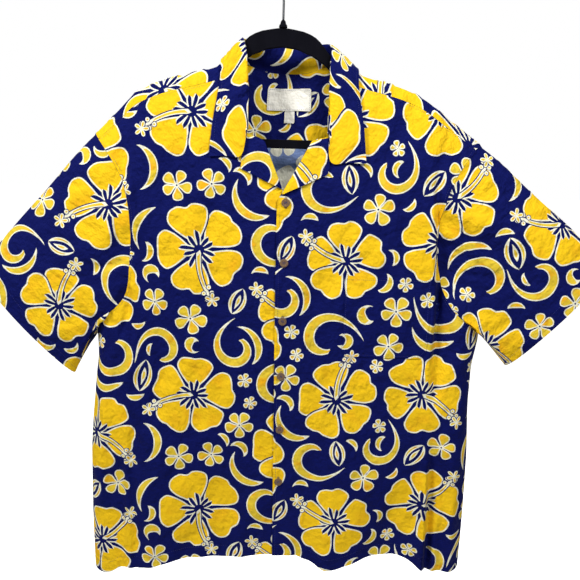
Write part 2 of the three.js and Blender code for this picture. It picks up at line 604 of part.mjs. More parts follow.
function buildButtons() {
  const shape = new THREE.Shape().absarc(0, 0, button.radius, 0, 2 * Math.PI);
  for (let k = 0; k < 4; k++) {
    const angle = Math.PI / 4 + (k * Math.PI) / 2;
    const hole = new THREE.Path();
    hole.absarc(button.holeOut * Math.cos(angle), button.holeOut * Math.sin(angle), button.holeRadius, 0, 2 * Math.PI, true);
    shape.holes.push(hole);
  }
  return [...Array(button.count).keys()].map((k) => {
    const z = mix(button.first, button.last, k / (button.count - 1));
    const geometry = new THREE.ExtrudeGeometry(shape, { depth: button.thick, bevelEnabled: false, curveSegments: 4 });
    const mesh = named(`button_${k + 1}`, geometry, materials.coconut);
    const normal = torsoNormal(-1, button.x, z, true);
    mesh.position.copy(torso(-1, button.x, z, true).addScaledVector(normal, button.lift));
    mesh.quaternion.setFromUnitVectors(new THREE.Vector3(0, 0, 1), normal);
    return mesh;
  });
}

function hangerOutline() {
  const end = hangerShoulder[hangerShoulder.length - 1].out;
  const right = columnsRight.map((x) => x + shirtOffset).filter((out) => out < end);
  const left = columnsLeft.map((x) => x + shirtOffset).filter((out) => out > -end);
  const half = (columns, side) => [
    ...archStations.filter((out) => out < Math.abs(columns[0])).map((out) => [side * out, hangerEdge(out)]),
    ...columns.map((out) => [out, hangerEdge(out)]),
    ...hangerEnd.map(({ out, z }) => [side * out, z]),
  ];
  const points = half(right, 1).concat(half(left, -1).slice(1).reverse());
  const shape = new THREE.Shape(points.map(([x, z]) => new THREE.Vector2(x, z)));
  const under = archUnder.map((out) => ({ out, z: archLower.z - archLower.bend * out * out }));
  const opening = [...under, ...hangerOpening].map(({ out, z }) => new THREE.Vector2(out, z));
  const mirrored = opening.slice(1).map((p) => new THREE.Vector2(-p.x, p.y));
  shape.holes.push(new THREE.Path([...mirrored, ...opening.reverse()]));
  return shape;
}

function buildHanger() {
  const geometry = new THREE.ExtrudeGeometry(hangerOutline(), {
    depth: hangerThick - 2 * bevel, bevelThickness: bevel, bevelSize: bevel, bevelOffset: -bevel, bevelSegments: 1,
  });
  geometry.translate(0, 0, -(hangerThick / 2 - bevel));
  geometry.rotateX(Math.PI / 2);
  return named("hanger", geometry, materials.flock);
}

// boss on top of the arch that holds the wire
function buildSocket() {
  const geometry = new THREE.LatheGeometry(socketProfile.map(({ r, z }) => new THREE.Vector2(r, z)), 12);
  geometry.rotateX(Math.PI / 2);
  return named("hook_socket", geometry, materials.flock);
}

function buildHook() {
  const centre = new THREE.Vector3(0, 0, wireRadius - hookRadius);
  const rad = Math.PI / 180;
  const onCircle = (degrees) =>
    new THREE.Vector3(Math.cos(degrees * rad), 0, Math.sin(degrees * rad)).multiplyScalar(hookRadius).add(centre);
  const path = new THREE.CurvePath();
  const stem = new THREE.Vector3(0, 0, hookStem.top);
  const bend = new THREE.Vector3(0, 0, hookStem.bend);
  const angle = hookStem.joinAngle * rad;
  const join = onCircle(hookStem.joinAngle);
  const along = new THREE.Vector3(Math.sin(angle), 0, -Math.cos(angle));
  path.add(new THREE.LineCurve3(new THREE.Vector3(0, 0, hookStem.foot), stem));
  path.add(new THREE.CubicBezierCurve3(stem, bend, join.clone().addScaledVector(along, -hookStem.joinPull), join));
  path.add(new THREE.CatmullRomCurve3(hookTurns.map(onCircle)));
  const sides = 8;
  const ring = new THREE.Shape([...Array(sides).keys()].map((k) =>
    new THREE.Vector2(Math.cos((k / sides) * 2 * Math.PI), Math.sin((k / sides) * 2 * Math.PI)).multiplyScalar(wireRadius)));
  const geometry = new THREE.ExtrudeGeometry(ring, { steps: 34, extrudePath: path, bevelEnabled: false });
  return named("hook", geometry, materials.wire);
}

const shirt = new THREE.Group();
shirt.position.x = shirtOffset;
shirt.add(
  buildFront("front_left", 1, frontLeftEdge, frontEdgeBottom, true),
  buildFront("front_right", -1, frontRightEdge, underEdgeBottom, false),
  buildBack(),
  buildYoke(),
  buildYokeLining(),
  buildCollar(),
  buildLapel("lapel_left", lapels.left),
  buildLapel("lapel_right", lapels.right),
  buildSleeve("sleeve_left", sleeves.left),
  buildSleeve("sleeve_right", sleeves.right),
  buildPatch("pocket", -1, pocket, pocket.lift + pocket.thick, pocket.thick, { across: 4, down: 4 }, materials.print),
  buildPatch("label", 1, { x0: -label.half, x1: label.half, z0: label.top, z1: label.bottom },
    -(inFront + label.lift + label.thick), label.thick, { across: 6, down: 2 }, materials.labelCloth),
  buildPatch("size_tab", 1, { x0: sizeTab.x - sizeTab.half, x1: sizeTab.x + sizeTab.half, z0: sizeTab.top, z1: sizeTab.bottom },
    -(inFront + sizeTab.lift + sizeTab.thick), sizeTab.thick, { across: 2, down: 1 }, materials.labelCloth),
  ...buildButtons(),
);

const group = new THREE.Group();
group.add(shirt, buildHanger(), buildSocket(), buildHook());

export default group;
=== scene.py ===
# Hawaiian shirt on a hanger. Tables and functions are in millimetres, meshes in metres.
import bpy
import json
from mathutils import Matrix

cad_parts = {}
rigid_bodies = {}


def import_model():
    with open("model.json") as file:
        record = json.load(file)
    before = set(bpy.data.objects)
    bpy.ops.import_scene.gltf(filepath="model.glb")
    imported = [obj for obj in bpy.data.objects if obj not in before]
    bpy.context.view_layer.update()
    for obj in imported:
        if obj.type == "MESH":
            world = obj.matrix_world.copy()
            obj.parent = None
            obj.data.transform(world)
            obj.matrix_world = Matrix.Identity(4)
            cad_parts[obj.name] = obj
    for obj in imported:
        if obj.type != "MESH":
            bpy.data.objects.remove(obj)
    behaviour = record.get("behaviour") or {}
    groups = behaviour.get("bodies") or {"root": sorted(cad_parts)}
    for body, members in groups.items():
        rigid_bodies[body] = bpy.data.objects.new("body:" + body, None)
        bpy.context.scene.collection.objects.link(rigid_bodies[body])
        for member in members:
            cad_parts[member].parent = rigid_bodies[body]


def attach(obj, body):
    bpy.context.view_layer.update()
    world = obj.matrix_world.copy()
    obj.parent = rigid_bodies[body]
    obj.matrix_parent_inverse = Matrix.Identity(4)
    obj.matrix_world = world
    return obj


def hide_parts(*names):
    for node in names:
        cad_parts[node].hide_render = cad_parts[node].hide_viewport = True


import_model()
for startObject in [o for o in bpy.data.objects if o.name in ("Cube", "Light", "Camera")]:
    bpy.data.objects.remove(startObject)
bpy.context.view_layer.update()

import json
import math
import random

import numpy as np
from mathutils import Matrix, Vector
from mathutils.bvhtree import BVHTree
from mathutils.geometry import delaunay_2d_cdt

mm = 0.001
inks = {"navy": 0, "yellow": 1, "white": 2, "pale": 3}


def mix(a, b, t):
    return a + (b - a) * t


def ease(t):
    s = np.clip(t, 0, 1)
    return s * s * (3 - 2 * s)


def unit(v):
    return v / (np.linalg.norm(v, axis=-1, keepdims=True) + 1e-9)


def runAlong(line):
    # distance from the start to each point of a line
    return np.concatenate([[0], np.cumsum(np.linalg.norm(np.diff(line, axis=0), axis=1))])


def spaced(line, count):
    # the same line with this many points, evenly apart
    line = np.asarray(line, float)
    run = runAlong(line)
    at = np.linspace(0, run[-1], count)
    return np.column_stack([np.interp(at, run, line[:, k]) for k in range(line.shape[1])])


def resample(line, step):
    return spaced(line, max(2, int(round(runAlong(line)[-1] / step)) + 1))


def curveThrough(a, b, c, d, t):
    # smooth curve from b to c, with a before and d after them
    bend = (2 * a - 5 * b + 4 * c - d) * t**2 + (3 * b - a - 3 * c + d) * t**3
    return 0.5 * (2 * b + (c - a) * t + bend)


def readRows(rows, at):
    # smooth curve through (key, value) rows, level past the ends
    keys, values = np.array(rows, float).T
    rise = np.diff(values) / np.diff(keys)
    before, after = np.concatenate([rise[:1], rise]), np.concatenate([rise, rise[-1:]])
    same = before * after > 0
    slope = np.where(same, 2 * before * after / np.where(same, before + after, 1), 0)
    at = np.clip(np.asarray(at, float), keys[0], keys[-1])
    i = np.clip(np.searchsorted(keys, at, side="right") - 1, 0, len(rise) - 1)
    span = keys[i + 1] - keys[i]
    t = (at - keys[i]) / span
    start = (2 * t**3 - 3 * t**2 + 1) * values[i] + (t**3 - 2 * t**2 + t) * span * slope[i]
    return start + (3 * t**2 - 2 * t**3) * values[i + 1] + (t**3 - t**2) * span * slope[i + 1]


def byHeight(rows, z):
    # rows run down from the top
    return readRows([(-key, value) for key, value in rows], -np.asarray(z, float))


# the print: outlines painted one over another, in millimetres of flat cloth
printCloth = {
    "tile": (450, 430),  # repeat
    "edge": 2.2,         # white line round a petal
    "fineEdge": 1.8,     # the same round a small motif
    "gap": 2.0,          # navy left between petals
    "tip": 11,           # radius of the star at a stamen's end
    "step": 4.0,         # length of an outline's segments
    "margin": 5.4,       # clear cloth between motifs
    "seed": 23,
    # along and across one petal, as parts of the flower's radius
    "petal": [
        (0.06, 0.0), (0.22, 0.1), (0.42, 0.28), (0.62, 0.41), (0.80, 0.45), (0.94, 0.34), (1.0, 0.15),
        (0.965, 0.0), (1.0, -0.17), (0.94, -0.36), (0.78, -0.46), (0.60, -0.4), (0.42, -0.27), (0.22, -0.1),
    ],
    # x, y, radius, turn of the petals and direction of the stamen
    "hibiscus": [
        (66, 70, 62, 8, 48), (226, 132, 67, 40, 285), (374, 40, 60, 20, 150),
        (58, 262, 63, 55, 322), (214, 332, 66, 14, 200), (372, 248, 64, 30, 75),
    ],
    # name, how many, smallest and largest size
    "fillers": [
        ("curl", 6, 112, 140), ("blossom", 9, 22, 25), ("sweep", 8, 76, 110), ("leaf", 6, 48, 60),
        ("star", 6, 11, 13), ("bud", 6, 14, 18), ("crescent", 7, 26, 34), ("sliver", 7, 20, 28),
    ],
}


def turned(points, degrees, at=(0, 0)):
    a = math.radians(degrees)
    spin = np.array([[math.cos(a), math.sin(a)], [-math.sin(a), math.cos(a)]])
    return np.asarray(points, float) @ spin + np.asarray(at, float)


def smoothLoop(points, step):
    p = np.asarray(points, float)
    a, b, c, d = (np.roll(p, k, axis=0) for k in (1, 0, -1, -2))
    out = []
    for k in range(len(p)):
        n = max(2, int(round(np.linalg.norm(c[k] - b[k]) / step)))
        t = (np.arange(n) / n)[:, None]
        out.append(curveThrough(a[k], b[k], c[k], d[k], t))
    return np.vstack(out)


def areaOf(loop):
    # positive where the loop runs counterclockwise
    x, y = loop.T
    return np.sum(x * np.roll(y, -1) - y * np.roll(x, -1)) / 2


def grown(loop, by):
    along = unit(np.roll(loop, -1, axis=0) - np.roll(loop, 1, axis=0))
    return loop + np.sign(areaOf(loop)) * by * np.column_stack([along[:, 1], -along[:, 0]])


def sideways(line):
    along = unit(np.gradient(line, axis=0))
    return np.column_stack([-along[:, 1], along[:, 0]])


def ribbon(line, half):
    out = sideways(line) * half[:, None]
    return np.vstack([line + out, (line - out)[-2:0:-1]])


def bent(length, sweep, count):
    # a line of this length that turns through sweep degrees; it starts at 0, 0 and ends on the x axis
    a = np.radians(sweep) * np.linspace(-0.5, 0.5, count - 1)
    steps = np.column_stack([np.cos(a), np.sin(a)]) * length / (count - 1)
    return np.vstack([[0, 0], np.cumsum(steps, axis=0)])


def disc(at, radius, count=10):
    a = np.arange(count) * 2 * math.pi / count
    return np.column_stack([np.cos(a), np.sin(a)]) * radius + np.asarray(at)


def paintRibbon(line, half):
    edge = printCloth["fineEdge"]
    out = [(ribbon(line, half), "white")]
    keep = np.where(half > edge + 0.35)[0]
    if len(keep) > 3:
        out.append((ribbon(line[keep], half[keep] - edge), "pale"))
    return out


def paintHibiscus(radius, turn, stamen, rng):
    s = printCloth
    petals, halos, strokes = [], [], []
    for k in range(5):
        shape = np.array(s["petal"]) * radius * rng.uniform(0.95, 1.04)
        shape[4:10] += np.array([rng.uniform(-0.022, 0.022) * radius for _ in range(12)]).reshape(6, 2)
        if rng.random() < 0.5:
            shape[:, 1] *= -1
        loop = turned(smoothLoop(shape, s["step"]), turn + 72 * k + rng.uniform(-4, 4))
        petals += [(grown(loop, s["gap"]), "navy"), (loop, "white"), (grown(loop, -s["edge"]), "yellow")]
        for side in (-1, 1):
            line = bent(radius * rng.uniform(0.36, 0.47), side * -14, 8)
            line = turned(line, turn + 72 * k + side * rng.uniform(10, 14))
            half = radius * np.array([0.012, 0.022, 0.028, 0.034, 0.039, 0.041, 0.034, 0.014])
            halos.append((ribbon(line, half + 1.9), "white"))
            strokes.append((ribbon(line, half), "navy"))
    line = turned(bent(radius * 1.2, rng.choice([-40, 40]), 17), stamen)
    half = np.linspace(3.6, 2.2, 17)
    half[0] = 1.4
    out = petals + halos + strokes + [(disc((0, 0), radius * 0.12, 14), "navy")]
    out += [(ribbon(line, half + 1.5), "navy"), (ribbon(line, half), "white")]
    out += [(ribbon(line[1:13], half[1:13] - 1.4), "pale")]
    for along, off in ((12, 5.6), (13, -5.6), (14, 5.9), (15, -5.9)):
        run = line[along + 1] - line[along]
        at = line[along] + unit(np.array([-run[1], run[0]])) * off
        out += [(disc(at, 4.5), "navy"), (disc(at, 3.4), "white"), (disc(at, 1.5, 7), "pale")]
    star = np.array([(0, 0), (0.5, 0.27), (0.93, 0.21), (1.05, 0), (0.93, -0.21), (0.5, -0.27)]) * s["tip"]
    for grow, ink in ((1.3, "navy"), (0, "white"), (-1.5, "pale")):
        for k in range(5):
            out.append((turned(grown(smoothLoop(star, 2.6), grow), stamen + 72 * k + 20, line[-1]), ink))
    return out


def paintBlossom(radius, rng):
    half = [(0.04, 0), (0.3, 0.17), (0.62, 0.35), (0.9, 0.3), (1, 0)]
    petal = half + [(x, -y) for x, y in half[3:0:-1]]
    out = []
    for k in range(5):
        loop = smoothLoop(np.array(petal) * radius * rng.uniform(0.92, 1.06), 3)
        loop = turned(loop, 72 * k + rng.uniform(-5, 5))
        out += [(loop, "white"), (grown(loop, -printCloth["fineEdge"]), "pale")]
    return out + [(disc((0, 0), radius * 0.14), "white"), (disc((0, 0), radius * 0.06, 8), "navy")]


def paintFiller(kind, size, rng):
    if kind in ("blossom", "star"):
        return paintBlossom(size, rng)
    if kind == "curl":
        # a vine that winds tighter towards its round end
        t = np.linspace(0, 1, 34)
        a = rng.choice([-1, 1]) * math.radians(rng.uniform(250, 320)) * t**1.7
        line = np.cumsum(np.column_stack([np.cos(a), np.sin(a)]) * size * 1.25 / 33, axis=0)
        return paintRibbon(line, 0.4 + size * 0.062 * np.sin(math.pi * (0.02 + 0.93 * t) ** 1.5) ** 0.85)
    if kind == "leaf":
        sides = [(bent(size, side * 92, 18), 0.052, 0.8) for side in (-1, 1)]
        vein = (bent(size * 0.5, 14, 11) + [size * 0.17, 0], 0.06, 1.3)
        out = []
        for line, wide, lean in sides + [vein]:
            t = np.linspace(0, 1, len(line))
            out += paintRibbon(line, 0.4 + size * wide * np.sin(math.pi * t**lean))
        return out
    # length and width as parts of the size, sweep in degrees, and fullness
    length, wide, low, high, full = {
        "sweep": (1.0, 0.07, 90, 150, 1.0),
        "bud": (3.0, 0.42, 215, 250, 1.25),
        "crescent": (1.25, 0.16, 130, 170, 0.9),
        "sliver": (1.2, 0.17, 60, 120, 1.0),
    }[kind]
    count = max(14, int(size * length / 3.6))
    line = bent(size * length, rng.choice([-1, 1]) * rng.uniform(low, high), count)
    t = np.linspace(0, 1, count) ** rng.uniform(0.75, 1.35)
    return paintRibbon(line, 0.4 + size * wide * np.sin(math.pi * t) ** full)


def layTile():
    # the flowers go where the table says, and the fillers into the clear cloth between them
    s = printCloth
    rng = random.Random(s["seed"])
    size = np.array(s["tile"], float)
    cell = 2.0
    taken = np.zeros((size / cell).astype(int), bool)
    placed = []

    def add(motif, at, core):
        outer = [(at, core)]
        for loop, ink in motif:
            placed.append((loop + at, ink))
            if ink == "white":
                outer += [(p, s["margin"]) for p in (loop + at)[::2]]
        for p, radius in outer:
            near = int(radius / cell) + 1
            spot = (p / cell).astype(int)
            rows = np.arange(spot[0] - near, spot[0] + near + 1)
            columns = np.arange(spot[1] - near, spot[1] + near + 1)
            apart = (rows[:, None] * cell - p[0]) ** 2 + (columns[None, :] * cell - p[1]) ** 2
            block = np.ix_(rows % taken.shape[0], columns % taken.shape[1])
            taken[block] |= apart < radius**2

    for x, y, radius, turn, stamen in s["hibiscus"]:
        add(paintHibiscus(radius, turn, stamen, rng), np.array([x, y], float), radius * 0.9)
    for kind, count, small, large in s["fillers"]:
        for _ in range(count):
            motif = paintFiller(kind, rng.uniform(small, large), rng)
            outline = np.vstack([loop for loop, ink in motif if ink == "white"])
            middle = outline.mean(axis=0)
            for _ in range(900):
                turn = rng.uniform(0, 360)
                at = np.array([rng.uniform(0, n) for n in size])
                spots = ((turned(outline - middle, turn, at) % size) / cell).astype(int)
                if not taken[spots[:, 0] % taken.shape[0], spots[:, 1] % taken.shape[1]].any():
                    moved = [(turned(loop - middle, turn), ink) for loop, ink in motif]
                    add(moved, at, s["margin"] + (small * 0.7 if kind in ("blossom", "star") else 0))
                    break
    return placed


tile = layTile()
print("print laid out:", len(tile), "outlines")


def printOver(low, high, shift, turn):
    # the outlines that fall on a piece whose flat cut lies between two corners
    corners = np.array([(x, y) for x in (low[0], high[0]) for y in (low[1], high[1])])
    back = turned(corners - shift, -turn)
    size = np.array(printCloth["tile"])
    first = np.floor(back.min(axis=0) / size).astype(int) - 1
    last = np.ceil(back.max(axis=0) / size).astype(int) + 1
    out = []
    for i in range(first[0], last[0] + 1):
        for j in range(first[1], last[1] + 1):
            for loop, ink in tile:
                moved = turned(loop + size * (i, j), turn) + shift
                if (moved.max(axis=0) > low).all() and (moved.min(axis=0) < high).all():
                    out.append((moved, ink))
    return out


def distanceTo(lines, points):
    # shortest distance from each point to any of the lines
    best = np.full(len(points), 1e6)
    for line in lines:
        a, d = line[:-1], np.diff(line, axis=0)
        long = (d**2).sum(axis=1) + 1e-9
        for p, v, n in zip(a, d, long):
            t = np.clip(((points - p) @ v) / n, 0, 1)
            best = np.minimum(best, ((points - p - t[:, None] * v) ** 2).sum(axis=1))
    return np.sqrt(best)


def insideOf(loop, points):
    # which points lie inside a counterclockwise loop
    a, b = loop, np.roll(loop, -1, axis=0)
    x, y = points[:, :1], points[:, 1:]
    side = (b[:, 0] - a[:, 0]) * (y - a[:, 1]) - (x - a[:, 0]) * (b[:, 1] - a[:, 1])
    up = (a[:, 1] <= y) & (b[:, 1] > y) & (side > 0)
    down = (a[:, 1] > y) & (b[:, 1] <= y) & (side < 0)
    return up.sum(axis=1) > down.sum(axis=1)


def cutFlat(outline, printed, step, rows=(), holes=()):
    # triangles of a flat piece, parted along every outline of the print
    low, high = outline.min(axis=0), outline.max(axis=0)
    loops = [outline, *holes] + [loop for loop, _ in printed]
    loops = [loop if areaOf(loop) > 0 else loop[::-1] for loop in loops]
    xs, ys = (np.arange(low[k] + step / 2, high[k], step) for k in (0, 1))
    grid = np.stack(np.meshgrid(xs, ys), axis=-1)
    grid[1::2, :, 0] += step / 2
    rows = [row[((row > low) & (row < high)).all(axis=1)] for row in rows]
    points = np.vstack(loops + [grid.reshape(-1, 2)] + rows)
    starts = np.cumsum([0] + [len(loop) for loop in loops])
    edges = []
    for first, last in zip(starts[:-1], starts[1:]):
        edges += [(k, k + 1) for k in range(first, last - 1)] + [(last - 1, first)]
    found = delaunay_2d_cdt([Vector(p) for p in points], edges, [], 0, 1e-3, False)
    flat, triangles = np.array([tuple(v) for v in found[0]]), np.array(found[2])
    middles = flat[triangles].mean(axis=1)
    kept = insideOf(loops[0], middles)
    for hole in loops[1:1 + len(holes)]:
        kept &= ~insideOf(hole, middles)
    triangles, middles = triangles[kept], middles[kept]
    ink = np.zeros(len(triangles), int)
    for loop, (_, name) in zip(loops[1 + len(holes):], printed):
        near = np.where(((middles > loop.min(axis=0)) & (middles < loop.max(axis=0))).all(axis=1))[0]
        if len(near):
            ink[near[insideOf(loop, middles[near])]] = inks[name]
    used = np.unique(triangles)
    renumber = np.full(len(flat), -1)
    renumber[used] = np.arange(len(used))
    return flat[used], renumber[triangles], ink


def putIn(name, data):
    made = bpy.data.objects.new(name, data)
    bpy.context.collection.objects.link(made)
    return made


def dress(piece, material, slotName, node=None):
    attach(piece, "root")
    if node:
        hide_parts(node)
    piece.data.materials.append(material)


def buildShell(name, flat, triangles, ink, points, normals, thick, reverse, bottom=None, under=None):
    # closed thin cloth: printed face, reverse, and the rim between them
    a, b, c = points[triangles].swapaxes(0, 1)
    if (np.cross(b - a, c - a) * normals[triangles[:, 0]]).sum() < 0:
        triangles = triangles[:, ::-1]
    n = len(points)
    edges = np.vstack([triangles[:, [0, 1]], triangles[:, [1, 2]], triangles[:, [2, 0]]])
    keys = {(int(a), int(b)) for a, b in edges}
    rim = [(a, b) for a, b in keys if (b, a) not in keys]
    faces = np.vstack([triangles, triangles[:, ::-1] + n]).tolist()
    faces += [(b, a, a + n, b + n) for a, b in sorted(rim)]
    mesh = bpy.data.meshes.new(name)
    both = np.vstack([points, points - normals * thick if bottom is None else bottom]) * mm
    mesh.from_pydata(both.tolist(), [], faces)
    count = len(triangles)
    inkOf = np.concatenate([ink, ink, np.zeros(len(rim))])
    inside = reverse(flat[triangles].mean(axis=1)) if callable(reverse) else np.full(count, reverse)
    backOf = np.concatenate([np.zeros(count), inside, np.zeros(len(rim))])
    for label, values in (("ink", inkOf), ("reverse", backOf)):
        mesh.attributes.new(label, "FLOAT", "FACE").data.foreach_set("value", values.astype(np.float32))
    threads = np.zeros((2 * n, 3), np.float32)
    threads[:, :2] = np.vstack([flat, flat]) * mm
    mesh.attributes.new("threads", "FLOAT_VECTOR", "POINT").data.foreach_set("vector", threads.ravel())
    mesh.shade_smooth()
    under = -normals if under is None else under
    mesh.normals_split_custom_set_from_vertices(np.vstack([normals, under]).tolist())
    return putIn(name, mesh)


# the hanging body, the same form as the solids
body = {
    "offset": 11,            # centre front, from the hook
    "flatHalf": 275,
    "sideRadius": 35,
    "ridgeRound": 6,
    "ridgeRoundFall": 3,
    "depthFall": 75,
    "neckBulge": {"out": 27, "x": -6, "z": -150, "wide": 55, "tall": 75, "rise": 12},
    "hem": -930,
    "hemDroop": 12,
    "waist": {"draw": 0.02, "low": -760, "lowFade": 120, "high": -540, "highFade": 60},
    "spread": {"out": 0.01, "top": -700, "fade": 200},
    # the wearer's right side is drawn in here
    "armpit": {"draw": 0.055, "z": -530, "wide": 95, "from": 150, "fade": 120},
    # height of the hem's waves, by distance round the cloth
    "frontWave": [
        (-330, -28), (-290, -29), (-279, -30), (-259, -21), (-218, -14), (-159, -2), (-82, 0), (-21, 4),
        (18, 7.5), (48, 5.5), (79, -8.5), (95, -8), (118, 0), (149, 8), (187, 11), (213, 9), (233, -2),
        (256, -11), (275, -11), (330, -6),
    ],
    "backWave": [
        (-330, -28), (-250, -14), (-170, 6), (-90, 8), (0, 2), (110, 9), (200, 10), (260, -8), (330, -6),
    ],
    "creaseScale": 2.0,
    "calm": (4, 26),         # no creases this far below the ridge, and full ones this much lower
    "neck": (-84.0, 70.0),   # where the ridge meets the neck
    "tip": (286, -248),
    "neckRow": -154,
    "yokeSeam": {"x": 250, "z": -252, "droop": 48, "straight": 150},
    "frontPart": 0.2,        # of the yoke's depth at the back, over the shoulder to the front
    "gap": 0.35,
    "thick": 0.7,
    "hangerEdge": [
        (0, -95), (30, -99.9), (48, -108), (60, -120), (72, -136), (80, -143.5), (92, -150), (107, -155),
        (127, -161), (150, -166.5), (173, -172.5), (193, -180.5), (212, -190),
    ],
    "clothRest": 3.2,
    "bridge": {-84: -131.3, -94: -141.4, 70: -132, 84: -143, 96: -150.8},
    "columns": [
        -286, -252, -223, -202, -172, -147, -124, -106, -94, -84,
        70, 84, 96, 118, 145, 172, 201, 228, 258, 286,
    ],
    "armhole": [
        (-248, 286), (-300, 250), (-335, 236), (-370, 231), (-400, 232), (-430, 236), (-465, 243),
        (-490, 254), (-510, 272), (-524, 294), (-532, 312), (-536.5, 275 + 35 * math.pi / 2),
    ],
    "leftEdge": [
        (-158, 70), (-190, 66), (-220, 63), (-245, 61.4), (-252, 37), (-288, 17), (-328, -6), (-342, -13),
        (-930, -7),
    ],
    "rightEdge": [
        (-158, 78), (-180, 70), (-212, 63.5), (-242, 60), (-253.5, 35), (-288, 21), (-324, 6), (-345, -14),
        (-930, -14),
    ],
    "lift": {"out": 3.2, "near": 22, "far": 62, "top": -285, "rise": 32},
    # face, from x z, to x z, height and width of the largest folds
    "folds": [
        (-1, 236, -290, 244, -640, -7, 24), (-1, -252, -290, -250, -560, -6, 22),
        (-1, 262, -690, 272, -1180, -7, 22), (-1, 96, -640, 106, -1250, 10, 48),
        (-1, 196, -700, 206, -1200, -7, 34), (-1, -205, -640, -192, -1250, 9, 44),
        (-1, -104, -700, -96, -1200, -6, 36), (-1, -262, -680, -274, -1200, -6, 24),
        (1, -130, -290, -150, -1250, 8, 42), (1, -40, -420, -56, -1200, -6, 34),
        (1, 70, -330, 52, -1250, 8, 46), (1, 168, -420, 176, -1200, -7, 36),
        (1, 240, -620, 232, -1250, 6, 30),
    ],
}
halfGirth = body["flatHalf"] + body["sideRadius"] * math.pi / 2
underArm = body["armhole"][-1][0]

# finer creases on the hanging cloth, each a soft trough or ridge: face, from x z, to x z, height, width
creases = [
    (-1, 222, -285, 232, -640, 2.4, 7), (-1, 239, -285, 249, -640, -3.4, 8),
    (-1, 246, -690, 252, -1010, -3.0, 8), (-1, 236, -690, 240, -1010, 1.8, 7),
    (-1, -236, -640, -232, -1010, -2.2, 7), (-1, -246, -640, -243, -1010, 1.6, 7),
    (-1, 221, -285, 230, -391, -3.8, 4), (-1, 230, -376, 241, -455, -4.2, 4),
    (-1, 241, -435, 238, -560, -4, 4.5), (-1, 238, -530, 252, -670, -3, 5),
    (-1, 229, -285, 239, -391, 2.6, 7), (-1, 250, -440, 247, -560, 2.6, 8),
    (-1, 231, -440, 229, -560, 2.2, 6), (-1, 246, -690, 250, -1010, -3.4, 5),
    (-1, 238, -700, 241, -1010, 2.4, 7), (-1, 258, -700, 261, -1010, 2.2, 6),
    (-1, 79, -830, 79, -1010, 3.5, 22), (-1, 187, -800, 187, -1010, -3.5, 30),
    (-1, -228, -290, -232, -400, 2.4, 6), (-1, -232, -390, -240, -520, 2.6, 6),
    (-1, -206, -560, -188, -650, -1.6, 6), (-1, 30, -880, 34, -1010, -2, 9),
    (-1, -200, -860, -206, -1010, 2.2, 10), (-1, 130, -700, 160, -770, 1.4, 7),
    (-1, -60, -640, -100, -720, -1.2, 7), (-1, 60, -560, 90, -640, -1.0, 7),
    (-1, -140, -420, -100, -500, 1.0, 8), (-1, 222, -262, 232, -330, -2.6, 7),
    (-1, 231, -320, 236, -470, -3.4, 8), (-1, 246, -300, 240, -400, 2.2, 8),
    (-1, 222, -440, 262, -560, -2.2, 9), (-1, 210, -470, 236, -600, 1.8, 10),
    (-1, 268, -540, 240, -660, -2.4, 9), (-1, -246, -262, -236, -330, -2.8, 7),
    (-1, -238, -330, -238, -460, -2.8, 8), (-1, -228, -300, -222, -420, 1.8, 9),
    (-1, -236, -470, -268, -570, -2.6, 8), (-1, -222, -500, -250, -640, 1.8, 10),
    (-1, -276, -560, -262, -700, -2.2, 8), (-1, 150, -270, 196, -350, -1.2, 12),
    (-1, -160, -262, -196, -340, -1.2, 12), (-1, 88, -290, 70, -420, 0.9, 14),
    (-1, -80, -300, -60, -400, -0.9, 12), (-1, 254, -700, 262, -880, -2.4, 8),
    (-1, 236, -740, 242, -990, 2.0, 10), (-1, 284, -660, 288, -1000, 1.8, 8),
    (-1, -252, -720, -258, -1000, -2.0, 8), (-1, -284, -600, -290, -900, 1.6, 8),
    (-1, 150, -780, 158, -1010, -1.6, 14), (-1, 52, -800, 48, -1000, 1.2, 13),
    (-1, -60, -820, -56, -1010, 1.2, 13), (-1, -150, -790, -146, -1010, -1.5, 13),
    (-1, 118, -600, 136, -700, -0.9, 12), (-1, -120, -560, -140, -680, -0.9, 12),
    (1, -236, -280, -232, -420, -2.8, 9), (1, 238, -280, 236, -430, -2.6, 9),
    (1, -226, -470, -262, -580, -2.4, 9), (1, 224, -480, 262, -590, -2.2, 9),
    (1, -180, -330, -196, -560, 1.8, 13), (1, 122, -340, 130, -560, -1.6, 12),
    (1, 0, -310, 6, -520, 1.6, 14), (1, -90, -640, -96, -1010, 2.0, 14),
    (1, 112, -660, 116, -1010, -2.0, 13), (1, 206, -700, 204, -1010, 1.8, 11),
    (1, -210, -640, -216, -1010, -2.2, 12), (1, -266, -700, -262, -980, 1.8, 9),
]
# the cloth's slight unevenness: height, wave length across and down, and start
ripples = [
    (1.1, 173, 310, 0.4), (0.85, 97, -240, 2.1), (0.6, 61, 150, 4.0), (0.42, -43, 95, 1.3),
    (0.26, 31, 57, 5.2),
]


def ridgeRows():
    end, low = body["hangerEdge"][-1]
    rows = []
    for x in body["columns"]:
        out = x + body["offset"]
        if x in body["bridge"]:
            z = body["bridge"][x]
        elif abs(out) <= end:
            z = float(readRows(body["hangerEdge"], abs(out))) + body["clothRest"]
        else:
            first = abs(math.copysign(end, x) - body["offset"])
            tipX, tipZ = body["tip"]
            z = mix(low + body["clothRest"], tipZ, (abs(x) - first) / (tipX - first))
        rows.append((x, z))
    return rows


ridgeTable = ridgeRows()


def ridge(x):
    return readRows(ridgeTable, np.clip(x, -body["tip"][0], body["tip"][0]))


